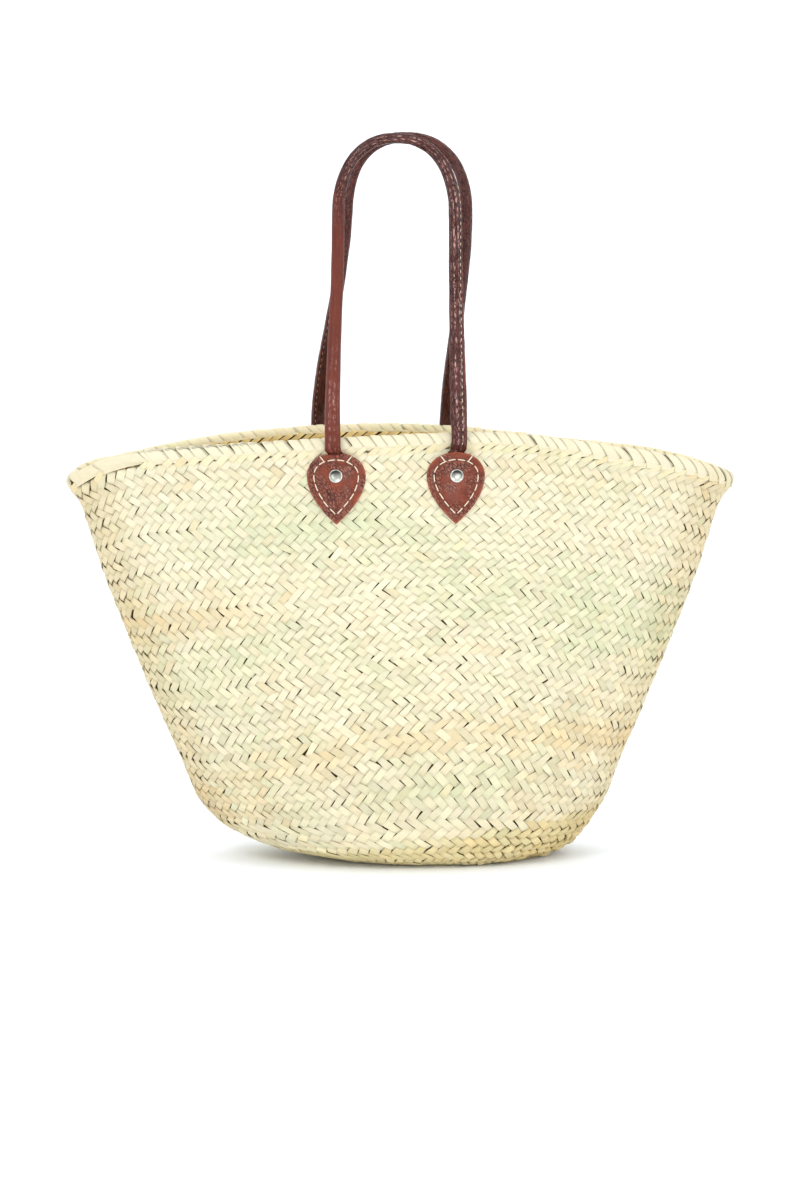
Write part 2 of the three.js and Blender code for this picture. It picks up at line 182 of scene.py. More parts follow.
def wrapped(angle):
    """An angle brought between minus and plus half a turn."""
    return np.arctan2(np.sin(angle), np.cos(angle))


def bell(away, spread, power=2):
    """One in the middle, and falling to nothing on either side."""
    return np.exp(-(away / spread) ** power)


def rim_top(angle):
    """Height of the rim's top at an angle round the mouth."""
    waves = sum(rise * bell(wrapped(angle - math.radians(at)), math.radians(spread))
                for at, spread, rise in RIM_WAVES)
    return RIM_HEIGHT - RIM_DIP * (np.abs(np.cos(angle)) ** 3 - waves)


def wall_top(angle):
    """Height of the wall's own top edge."""
    return rim_top(angle) - RIM_TALL - GAP


def wall_point(angle, up):
    """Points of the wall's outer face."""
    long = column("long", up) * MOUTH_LENGTH / 2
    deep = column("deep", up) * BELLY_DEPTH / 2
    shift = column("shift", up) * MOUTH_LENGTH / 2
    along = np.cos(angle)
    across = np.sin(angle) * (1 - column("pinch", up) * along ** 2)
    return np.stack([shift + long * along, deep * across, up * wall_top(angle)], axis=-1)


def unit(vectors):
    """Vectors at length one."""
    return vectors / np.maximum(np.linalg.norm(vectors, axis=-1, keepdims=True), 1e-12)


def wall_normal(angle, up, step=0.004):
    """The wall's outward directions."""
    around = wall_point(angle + step, up) - wall_point(angle - step, up)
    rise = wall_point(angle, np.minimum(up + step, 1)) - wall_point(angle, np.maximum(up - step, 0))
    return unit(np.cross(around, rise))


def wall_place(side, x, z):
    """Angle and share of the height where one side of the wall passes given X and Z."""
    x, z = np.broadcast_arrays(np.asarray(x, float), np.asarray(z, float))
    angle = np.full(x.shape, side * math.pi / 2)
    up = z / wall_top(angle)
    for _ in range(PLACE_PASSES):
        long = column("long", up) * MOUTH_LENGTH / 2
        shift = column("shift", up) * MOUTH_LENGTH / 2
        angle = side * np.arccos(np.clip((x - shift) / long, -1, 1))
        up = np.clip(z / wall_top(angle), 0, 1)
    return angle, up


def off_wall(side, x, z, away):
    """Points off the wall's outer face, over places given by X and Z."""
    angle, up = wall_place(side, x, z)
    return wall_point(angle, up) + wall_normal(angle, up) * np.asarray(away)[..., None]


def rim_middle(angle):
    """Middle of the rim's roll, and the level way out from there."""
    outward = wall_normal(angle, np.ones_like(angle))
    outward[..., 2] = 0
    outward = unit(outward)
    middle = wall_point(angle, np.ones_like(angle)) - outward * WALL / 2
    middle[..., 2] = rim_top(angle) - RIM_TALL / 2
    return middle, outward


def smoothstep(value, low, high):
    """Eased share of the way from low to high."""
    share = np.clip((value - low) / (high - low), 0, 1)
    return share * share * (3 - 2 * share)


def walk(points):
    """Distances along a line of points."""
    return np.concatenate([[0], np.cumsum(np.linalg.norm(np.diff(points, axis=0), axis=1))])


class Girth:
    """Even steps round the basket at any height, counted from the middle of the front."""

    LEVEL_COUNT = 81
    STEP_COUNT = 361

    def __init__(self):
        self.ups = np.linspace(0, 1, self.LEVEL_COUNT) ** 1.5
        self.shares = np.linspace(0, 1, self.STEP_COUNT)
        angles = FRONT_MIDDLE + np.linspace(0, TURN, 4 * self.STEP_COUNT)
        self.angles = []
        self.lengths = []
        for up in self.ups:
            points = wall_point(angles, np.full_like(angles, up))
            walked = walk(points)
            self.lengths.append(walked[-1])
            self.angles.append(np.interp(self.shares, walked / walked[-1], angles))
        self.angles = np.array(self.angles)

    def length(self, up):
        """Distance round the basket at a share of its height."""
        return float(np.interp(up, self.ups, self.lengths))

    def angle(self, share, up):
        """Angles at shares of the way round."""
        whole = np.floor(share)
        share = share - whole
        row = np.interp(up, self.ups, np.arange(self.LEVEL_COUNT))
        low = np.clip(row.astype(int), 0, self.LEVEL_COUNT - 2)
        step = share * (self.STEP_COUNT - 1)
        left = np.clip(step.astype(int), 0, self.STEP_COUNT - 2)
        a, b = row - low, step - left
        table = self.angles
        return ((1 - a) * ((1 - b) * table[low, left] + b * table[low, left + 1])
                + a * ((1 - b) * table[low + 1, left] + b * table[low + 1, left + 1]) + whole * TURN)


GIRTH = Girth()


# Meshes

def mesh_object(name, points, faces, attributes=None, uvs=None):
    """A new smooth mesh object from arrays. attributes maps a name to (kind, values per point)."""
    mesh = bpy.data.meshes.new(name)
    points = np.asarray(points, dtype=np.float32).reshape(-1, 3)
    loops = np.concatenate([np.asarray(face, dtype=np.int32).ravel() for face in faces])
    sizes = np.concatenate([np.full(len(face), face.shape[1], dtype=np.int32) for face in faces])
    mesh.vertices.add(len(points))
    mesh.vertices.foreach_set("co", points.ravel())
    mesh.loops.add(len(loops))
    mesh.loops.foreach_set("vertex_index", loops)
    mesh.polygons.add(len(sizes))
    mesh.polygons.foreach_set("loop_start", np.concatenate([[0], np.cumsum(sizes)[:-1]]).astype(np.int32))
    mesh.polygons.foreach_set("use_smooth", np.full(len(sizes), True))
    mesh.update(calc_edges=True)
    for label, (kind, values) in (attributes or {}).items():
        layer = mesh.attributes.new(label, kind, "POINT")
        key = "color" if kind == "FLOAT_COLOR" else "vector" if kind == "FLOAT_VECTOR" else "value"
        layer.data.foreach_set(key, np.asarray(values, dtype=np.float32).ravel())
    if uvs is not None:
        layer = mesh.uv_layers.new(name="OFBake")
        layer.uv.foreach_set("vector", np.asarray(uvs, dtype=np.float32)[loops].ravel())
    mesh.validate()
    thing = bpy.data.objects.new(name, mesh)
    bpy.context.scene.collection.objects.link(thing)
    return thing


def grid_faces(rows, columns, count=1, closed=False):
    """Quads of `count` equal grids of points, rows by columns, one after another."""
    r, c = np.meshgrid(np.arange(rows - 1), np.arange(columns if closed else columns - 1), indexing="ij")
    n = (c + 1) % columns
    quad = np.stack([r * columns + c, r * columns + n, (r + 1) * columns + n, (r + 1) * columns + c], axis=-1)
    quad = quad.reshape(1, -1, 4) + (np.arange(count) * rows * columns)[:, None, None]
    return quad.reshape(-1, 4)


def cap_faces(start, sides, middle, turned=False):
    """Triangles that close a ring of points round its middle."""
    ring = start + np.arange(sides)
    following = np.roll(ring, -1)
    pair = (following, ring) if turned else (ring, following)
    return np.stack([*pair, np.full(sides, middle)], axis=1)


def cell_uvs(count, u, v, wide=2.0, inset=0.06):
    """Places in a sheet of cells, one for each of `count` like tiles. u and v run 0 to 1 in a tile."""
    columns = max(1, math.ceil(math.sqrt(count / wide)))
    rows = math.ceil(count / columns)
    tile = np.arange(count)
    u = (tile % columns)[:, None] + inset + (1 - 2 * inset) * u.ravel()[None]
    v = (tile // columns)[:, None] + inset + (1 - 2 * inset) * v.ravel()[None]
    return np.stack([u / columns, v / rows], axis=-1).reshape(-1, 2)


def finish_piece(thing, slot, material, *nodes):
    """A piece rides on the bag, takes its material, and may stand for nodes of the frame."""
    thing.data.materials.clear()
    thing.data.materials.append(material)
    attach(thing, "root")
    if nodes:
        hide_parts(*nodes)
    return thing


def linear(colour):
    """A colour given as seen on a screen, in the scene's linear light."""
    return tuple(((c + 0.055) / 1.055) ** 2.4 if c > 0.04045 else c / 12.92 for c in colour)


# Materials

class Wire:
    """A socket that Python's operators work on, each adding its Math node."""

    def __init__(self, recipe, socket):
        self.recipe = recipe
        self.socket = socket

    def maths(self, operation, *values):
        return self.recipe.add("ShaderNodeMath", {"operation": operation}, *values)

    def __add__(self, other):
        return self.maths("ADD", self, other)

    __radd__ = __add__

    def __mul__(self, other):
        return self.maths("MULTIPLY", self, other)

    def __sub__(self, other):
        return self.maths("SUBTRACT", self, other)

    def __rsub__(self, other):
        return self.maths("SUBTRACT", other, self)

    def size(self):
        return self.maths("ABSOLUTE", self)

    def sine(self):
        return self.maths("SINE", self)

    def at_most(self, other):
        return self.maths("MINIMUM", self, other)


class Recipe:
    """One material and the nodes that colour it."""

    def __init__(self, name):
        self.material = bpy.data.materials.new(name)
        self.material.use_nodes = True
        self.tree = self.material.node_tree
        self.tree.nodes.clear()
        self.shader = self.tree.nodes.new("ShaderNodeBsdfPrincipled")
        output = self.tree.nodes.new("ShaderNodeOutputMaterial")
        self.tree.links.new(self.shader.outputs["BSDF"], output.inputs["Surface"])

    def join(self, socket, value):
        if isinstance(value, Wire):
            self.tree.links.new(value.socket, socket)
        elif hasattr(socket.default_value, "__len__") and len(socket.default_value) == 4 and len(value) == 3:
            socket.default_value = (*value, 1)
        else:
            socket.default_value = value

    def add(self, kind, settings, *values, out=0, **named):
        """A node of a kind, its settings first, then its sockets by place or by name."""
        node = self.tree.nodes.new(kind)
        for key, value in settings.items():
            setattr(node, key, value)
        for place, value in enumerate(values):
            self.join(node.inputs[place], value)
        for key, value in named.items():
            self.join(node.inputs[key.replace("_", " ")], value)
        return Wire(self, node.outputs[out])

    def ramp(self, value, low, high):
        """Share of the way from low to high, held between 0 and 1."""
        return self.add("ShaderNodeMapRange", {"clamp": True}, value, low, high, 0, 1)

    def attribute(self, name, out="Vector"):
        return self.add("ShaderNodeAttribute", {"attribute_name": name}, out=out)

    def mix(self, share, first, second, blend="MIX"):
        """Two colours mixed."""
        node = self.tree.nodes.new("ShaderNodeMix")
        node.data_type = "RGBA"
        node.blend_type = blend
        self.join(node.inputs[0], share)
        self.join(node.inputs[6], first)
        self.join(node.inputs[7], second)
        return Wire(self, node.outputs[2])

    def shaded(self, tint, shade, blue=None):
        """A colour multiplied by a share, and its blue by another if one is given."""
        grey = self.add("ShaderNodeCombineColor", {}, shade, shade, shade if blue is None else blue)
        return self.mix(1.0, tint, grey, "MULTIPLY")

    def scaled(self, vector, scale):
        """A vector with each part multiplied."""
        return self.add("ShaderNodeVectorMath", {"operation": "MULTIPLY"}, vector, scale)

    def place(self):
        """The piece's own coordinates."""
        return self.add("ShaderNodeTexCoord", {}, out="Object")

    def noise(self, vector, scale, detail=2.0, roughness=0.5):
        return self.add("ShaderNodeTexNoise", {}, Vector=vector, Scale=scale, Detail=detail,
                        Roughness=roughness)

    def parts(self, vector):
        node = self.tree.nodes.new("ShaderNodeSeparateXYZ")
        self.join(node.inputs[0], vector)
        return [Wire(self, output) for output in node.outputs]

    def bump(self, height, strength, distance):
        return self.add("ShaderNodeBump", {}, Strength=strength, Distance=distance, Height=height)

    def surface(self, **named):
        for key, value in named.items():
            self.join(self.shader.inputs[key.replace("_", " ")], value)
        return self.material


def palm_material(name):
    """Dry palm leaf: each strand its own tint, with fine veins along it, and painted shade along its edges
    and at its ends, where it runs under its neighbours.
    """
    recipe = Recipe(name)
    place = recipe.attribute("leaf_place")
    across, _along, _seed = recipe.parts(place)
    veins = recipe.noise(recipe.scaled(place, (4.5, 0.35, 7.0)), 1.0, 3.0, 0.6)
    patches = recipe.noise(recipe.scaled(place, (0.5, 0.28, 3.0)), 1.0, 2.0)
    # Painted shade: the leaf is darkened along its edges and at its ends, where the leaves meet and run under
    # each other
    edge = recipe.ramp(across.size(), 0.88, 1.0)
    tucked_shade = recipe.attribute("leaf_end_shade", "Fac")
    shade = 1.0 - (veins - 0.5) * 0.22 - (patches - 0.5) * 0.12 - edge * 0.2 - tucked_shade * 0.17
    colour = recipe.shaded(recipe.attribute("leaf_tint", "Color"), shade, shade - (patches - 0.5) * 0.12)
    return recipe.surface(Base_Color=colour, Roughness=0.5 + veins * 0.2, Specular_IOR_Level=0.35,
                          Normal=recipe.bump(veins, 0.35, 0.4 * MILLIMETRE))


def backing_material(name, colour):
    """The shade between the strands."""
    recipe = Recipe(name)
    shade = 0.75 + recipe.noise(recipe.place(), 90.0, 3.0) * 0.5
    return recipe.surface(Base_Color=recipe.shaded(colour, shade), Roughness=0.9, Specular_IOR_Level=0.1)


def leather_material(name, dark, light, highlight_colour, grain, stretch, wrinkle, gloss):
    """Glossy pull-up leather: redder and lighter where it is stretched, with painted light on its raised
    parts, painted shade in its creases, and painted highlights flecked along its ridges.
    """
    recipe = Recipe(name)
    place = recipe.attribute("hide_place")
    wear_and_highlight = recipe.attribute("hide_wear", "Fac")
    folded = recipe.attribute("hide_folds", "Fac")
    polish = recipe.attribute("hide_polish", "Fac")
    long_way = recipe.scaled(place, (1.0, stretch, 1.0))
    clouds = recipe.noise(recipe.scaled(place, (1.0, 0.3 + 0.7 * stretch, 1.0)), 0.13, 3.0)
    streaks = recipe.noise(long_way, 0.75, 4.0, 0.6)
    bent = recipe.noise(long_way, 0.5, 2.0)
    bend = recipe.scaled(recipe.add("ShaderNodeCombineXYZ", {}, bent, bent, bent), (2.4, 1.6, 2.4))
    folds = recipe.add("ShaderNodeVectorMath", {"operation": "ADD"}, long_way, bend)
    cells = recipe.add("ShaderNodeTexVoronoi", {"feature": "DISTANCE_TO_EDGE"}, Vector=folds, Scale=grain)
    pores = recipe.noise(place, 3.2, 3.0, 0.6)
    broken = recipe.ramp(clouds, 0.36, 0.56)
    # Creases: cut into the bump, and darkened in the colour as painted shade
    crease = (1.0 - recipe.ramp(cells, 0.0, 0.16)) * (0.15 + broken * 0.85) * folded
    mottled = (clouds - 0.5) * 0.4 + (streaks - 0.5) * 0.14 * folded
    lightness = recipe.ramp(mottled + wear_and_highlight - crease * 0.15, 0.0, 1.0)
    # Painted highlights: lighter flecks on the grain's ridges where the highlight attribute is set
    glint = recipe.ramp(cells, 0.04, 0.2) * recipe.ramp(pores, 0.4, 0.54) * polish
    colour = recipe.mix(lightness, dark, light)
    colour = recipe.mix(crease * 0.42, colour, tuple(c * 0.35 for c in dark))
    colour = recipe.mix(glint, colour, highlight_colour)
    height = streaks * folded * wrinkle - crease * 0.9 + pores * 0.12
    return recipe.surface(Base_Color=colour, Roughness=0.36 + pores * 0.14 + crease * 0.2,
                          Normal=recipe.bump(height, 0.9, 1.1 * MILLIMETRE),
                          Coat_Weight=folded.at_most(1.0) * gloss, Coat_Roughness=0.12,
                          Specular_IOR_Level=0.18)


def thread_material(name, colour):
    """Waxed linen thread with its twist."""
    recipe = Recipe(name)
    place = recipe.attribute("thread_place")
    round_it, along, _seed = recipe.parts(place)
    twist = ((round_it + along * 1.6) * TURN).sine()
    dirt = recipe.noise(place, 0.9, 2.0)
    # Painted shade darkens the grooves of the twist; the dirt varies the thread's own tone
    shade = 0.86 + twist * 0.08 + (dirt - 0.5) * 0.24
    return recipe.surface(Base_Color=recipe.shaded(colour, shade), Roughness=0.62,
                          Normal=recipe.bump(twist, 0.3, 0.1 * MILLIMETRE))


def metal_material(name, colour):
    """Polished rivet metal with fine turning marks, dulled spots, and a painted dark reflection in its dish.
    """
    recipe = Recipe(name)
    dull = recipe.ramp(recipe.noise(recipe.place(), 900.0, 3.0), 0.5, 0.75)
    fine = recipe.noise(recipe.place(), 4000.0, 2.0)
    tone = recipe.mix(dull, colour, tuple(c * 0.6 for c in colour))
    # Painted dark reflection darkens the dish
    tone = recipe.mix(recipe.attribute("dish", "Fac"), tone, tuple(c * 0.06 for c in colour))
    return recipe.surface(Base_Color=tone, Metallic=1.0, Roughness=0.16 + dull * 0.2 + fine * 0.06)


def floor_material(name, colour, shadow_tint):
    """A pale floor, a little bluer near the bag: a painted tint for the shadow that falls there."""
    recipe = Recipe(name)
    x, y, _z = recipe.parts(recipe.place())
    near = 1.0 - recipe.ramp(x * x + y * y, 0.04, 0.2)
    faint = recipe.noise(recipe.place(), 3.0, 2.0)
    tone = recipe.mix(near * (0.9 + faint * 0.2), colour, shadow_tint)
    return recipe.surface(Base_Color=tone, Roughness=0.85, Specular_IOR_Level=0.1)


# Settings

def length(name, text, value):
    return FloatProperty(name=name, description=text, default=value, min=0, subtype="DISTANCE", unit="LENGTH")


def colour(name, text, value):
    return FloatVectorProperty(name=name, description=text, default=linear(value), min=0, max=1,
                               subtype="COLOR", size=3)


class PlaitSettings(bpy.types.PropertyGroup):
    """The plaited leaf."""

    row_height: length("Row height", "From one row of the plait to the next", 0.0078)
    pitch: length("Pitch", "From one leaf to the next along a row", 0.0088)
    relief: length("Relief", "How far a leaf stands proud where it crosses the others", 0.0007)
    leaf: length("Leaf thickness", "Thickness of a leaf's edge", 0.00045)
    band: IntProperty(name="Rows in a band", description="Rows between two sewn joins", default=8, min=1)
    cream: colour("Cream", "Bleached leaf", (0.835, 0.802, 0.69))
    green: colour("Green", "Younger leaf", (0.768, 0.774, 0.634))
    tan: colour("Tan", "Riper leaf", (0.818, 0.745, 0.588))
    gold: colour("Gold", "Leaf inside the basket", (0.95, 0.845, 0.56))
    shade: colour("Shade", "Between the leaves", (0.27, 0.21, 0.11))


class RimSettings(bpy.types.PropertyGroup):
    """The bound rim."""

    pitch: length("Wrap pitch", "From one wrap of the rim to the next", 0.0092)
    slant: length("Slant", "How far a wrap moves along the rim over its front", 0.0042)
    edge: length("Edge", "How far a wrap's edge stands over the next one", 0.0011)


class LeatherSettings(bpy.types.PropertyGroup):
    """Handles, patches, thread and rivets."""

    handle_dark: colour("Handle, dark", "Leather in the folds", (0.208, 0.08, 0.072))
    handle_light: colour("Handle, light", "Leather where it is stretched", (0.545, 0.24, 0.155))
    patch_dark: colour("Patch, dark", "Leather of the patches", (0.295, 0.123, 0.094))
    patch_light: colour("Patch, light", "Worn leather of the patches", (0.675, 0.335, 0.222))
    # Colour of the painted highlights on the handles' ridges
    wear_and_highlight: colour("Worn leather", "Ridges that wear has polished", (0.90, 0.72, 0.68))
    # Colour of the painted highlights on the patches' grain
    patch_highlight: colour("Worn patch", "Grain that wear has polished", (0.76, 0.51, 0.42))
    thread: colour("Thread", "Waxed thread", (0.93, 0.87, 0.77))
    seam_thread: colour("Seam thread", "Thread along the front handle", (0.84, 0.76, 0.66))
    # Darker thread for the back handle: painted shade, as that seam lies in shade
    shaded_back_thread: colour("Aged thread", "Thread of the back handle", (0.58, 0.45, 0.33))
    metal: colour("Rivet", "Rivet metal", (0.80, 0.80, 0.76))
    stitch: length("Stitch", "Length of a patch's stitch", 0.0072)
    seam_stitch: length("Seam stitch", "Pitch of the stitches along a handle", 0.0056)


class StageSettings(bpy.types.PropertyGroup):
    """Floor, light and camera."""

    floor: colour("Floor", "The pale floor", (0.985, 0.99, 1.0))
    distance: length("Camera distance", "From the camera to the bag", 2.6)


# The plait

LEAF_ALONG = np.array([-1.22, -0.98, -0.5, 0.0, 0.5, 0.98, 1.22])
LEAF_ACROSS = np.array([-1.0, -0.95, 0.0, 0.95, 1.0])
PLAIN_ALONG = np.array([-1.2, -0.6, 0.0, 0.6, 1.2])
PLAIN_ACROSS = np.array([-1.0, -0.93, 0.93, 1.0])


def arched(angle, up):
    """Share of the height after the slow wave of the rows, which arch over the front's lower half."""
    arch = bell(np.cos(angle) - ROW_ARCH_MIDDLE, ROW_ARCH_SPREAD) - 0.4
    window = smoothstep(up, 0, 0.3) * (1 - smoothstep(up, 0.4, 0.95))
    return up + ROW_ARCH * arch * window * smoothstep(-np.sin(angle), 0, 0.5)


def drifts(centres, table):
    """Strength of the front's drifts of colour at each place, and none behind."""
    total = 0
    for x, z, wide, tall, rise, sag, strength in table:
        along = centres[:, 0] - x
        above = centres[:, 2] - z - rise * along + sag * along ** 2
        total = total + strength * np.exp(-(along / wide) ** 4 - (above / tall) ** 2)
    return total * (centres[:, 1] < 0)


def noise_at(points, scale=1, offset=0):
    """Smooth noise, from -1 to 1, at many places that are scaled and then moved."""
    points = points * scale + offset
    values = [noise.noise(Vector(place)) for place in points.reshape(-1, 3)]
    return np.array(values).reshape(points.shape[:-1])


def toward(tint, colour, share):
    """Tints brought nearer to a colour by a share."""
    return tint + (np.array(colour) - tint) * share


def leaf_tints(settings, centres, rng, gold=0.0, seed=0.0):
    """A tint for each leaf: slow drifts from cream to green and tan, and each leaf its own."""
    x, y, z = centres.T
    count = len(centres)
    front = y < 0
    wild = np.where(front, RANDOM_DRIFTS_IN_FRONT, 1)
    greens = smoothstep(noise_at(centres, (9, 9, 13), (seed, 0, 0)), -0.05, 0.45) * 0.85
    tans = smoothstep(noise_at(centres, (7, 7, 16), (31, seed, 0)), 0.0, 0.5) * 0.65
    ripe = 0.4 + 0.6 * (1 - smoothstep(z, 0.12, 0.3))
    green = greens * wild + drifts(centres, GREEN_DRIFTS)
    green = np.clip(green + rng.normal(0, 0.22, count), 0, 1)
    tan = tans * ripe * wild + drifts(centres, TAN_DRIFTS)
    tan = np.clip(tan + rng.normal(-0.02, 0.2, count), 0, 1)
    tint = toward(np.array(settings.cream), settings.green, green[:, None])
    tint = toward(tint, settings.tan, tan[:, None])
    tint = toward(tint, settings.gold, gold)
    low = 1 - smoothstep(z, 0.08, 0.32)
    foot = 1 - smoothstep(z, 0.0, 0.05)
    fold = FOLD_Z + np.where(x > FOLD_X, FOLD_RISE_RIGHT, FOLD_RISE_LEFT) * (x - FOLD_X)
    below = smoothstep(fold - z, -0.003, 0.003) * front
    half = column("long", z / RIM_HEIGHT) * MOUTH_LENGTH / 2
    ends = smoothstep(np.abs(x) / half, 0.84, 1.02)
    # Painted light at the foot, and painted shade below the fold and towards the ends, mixed with the leaf's
    # own warmer, golden and tan tones
    for share, change in ((low, LOW_TINT), (foot, FOOT_PAINTED_LIGHT), (below, FOLD_TONE_AND_SHADE), (ends, ENDS_TONE_AND_SHADE)):
        tint = tint * (1 + share[:, None] * np.array(change))
    own = 1 + rng.normal(0, 1, count) * (0.03 + 0.025 * low)
    return np.minimum(tint * own[:, None], BRIGHTEST_LEAF)


def plait_leaves(centres, slants, scales, rng, along, across, slits=None):
    """Places of every leaf's points on the flat plait, in pitches and rows.

    Leaves lie two widths long and one wide, at 45 degrees, so that rows of one slant lock into
    rows of the other without a gap. A slit's size draws one edge of its leaf back at one end.
    """
    count = len(centres)
    s, c = np.meshgrid(along, across, indexing="ij")
    s, c = s.ravel()[None], c.ravel()[None]
    longer = scales[:, :1] * s
    wider = scales[:, 1:2] * c
    if slits is not None:
        ways = rng.choice((-1, 1), (count, 1))
        sides = rng.choice((-1, 1), (count, 1))
        wider = wider * (1 - slits[:, None] * np.clip(s * ways + 0.3, 0, 1) * (c * sides > 0))
    turned = rng.normal(0, 0.055, count)[:, None]
    lean = slants[:, None]
    x = 0.5 * longer - 0.25 * wider * lean
    y = 0.5 * longer * lean + 0.25 * wider
    x, y = x - turned * y, y + turned * x
    moved = rng.normal(0, 0.018, (count, 2))
    return centres[:, :1] + moved[:, :1] + x, centres[:, 1:] + moved[:, 1:] + y, s, c


def leaf_attributes(tints, s, c, rng, half_long):
    """What the leaf material reads at each point: tint, place along and across, and painted shade at the ends
    that run under other leaves.
    """
    count, per = len(tints), s.shape[-1]
    tint = np.repeat(np.concatenate([tints, np.ones((count, 1))], axis=1)[:, None], per, axis=1)
    own = rng.uniform(0, 40, count)[:, None] + 0 * s
    place = np.stack([c + 0 * own, s * half_long + own * 3, own], axis=-1)
    # Painted shade at both ends of each leaf, where it runs under its neighbours
    ends = smoothstep(np.abs(s), 0.84, 1.06) + 0 * own
    return {"leaf_tint": ("FLOAT_COLOR", tint), "leaf_place": ("FLOAT_VECTOR", place),
            "leaf_end_shade": ("FLOAT", ends)}


def crisp(thing, angle=0.6):
    """Leaves are smooth along their tops and sharp at their edges."""
    bpy.ops.object.select_all(action="DESELECT")
    thing.select_set(True)
    bpy.context.view_layer.objects.active = thing
    bpy.ops.object.shade_smooth_by_angle(angle=angle)
    return thing


def leaf_mesh(name, points, facts, along, across, reverse=None):
    """Leaves in one mesh. reverse says which of them have their faces turned over."""
    count = len(points)
    s, c = np.meshgrid(along, across, indexing="ij")
    faces = grid_faces(len(along), len(across), count)
    if reverse is not None:
        turned = np.repeat(reverse, (len(along) - 1) * (len(across) - 1))
        faces[turned] = faces[turned][:, ::-1]
    u = (s - s.min()) / (s.max() - s.min())
    return crisp(mesh_object(name, points, [faces], facts, cell_uvs(count, u, (c + 1) / 2)))


def leaf_heights(settings, s, c, rng, count):
    """Height of each point over the wall: high in the middle, dipping under at both ends."""
    crest = settings.relief * (1 + rng.normal(0, 0.14, count))[:, None]
    bow = crest * (1 - 0.95 * np.abs(s) ** 4)
    tilt = rng.normal(0, 0.00008, count)[:, None] * c
    skirt = settings.leaf * (np.abs(c) > 0.97)
    crown = 0.00012 * (1 - c ** 2)
    return bow + tilt + crown - skirt


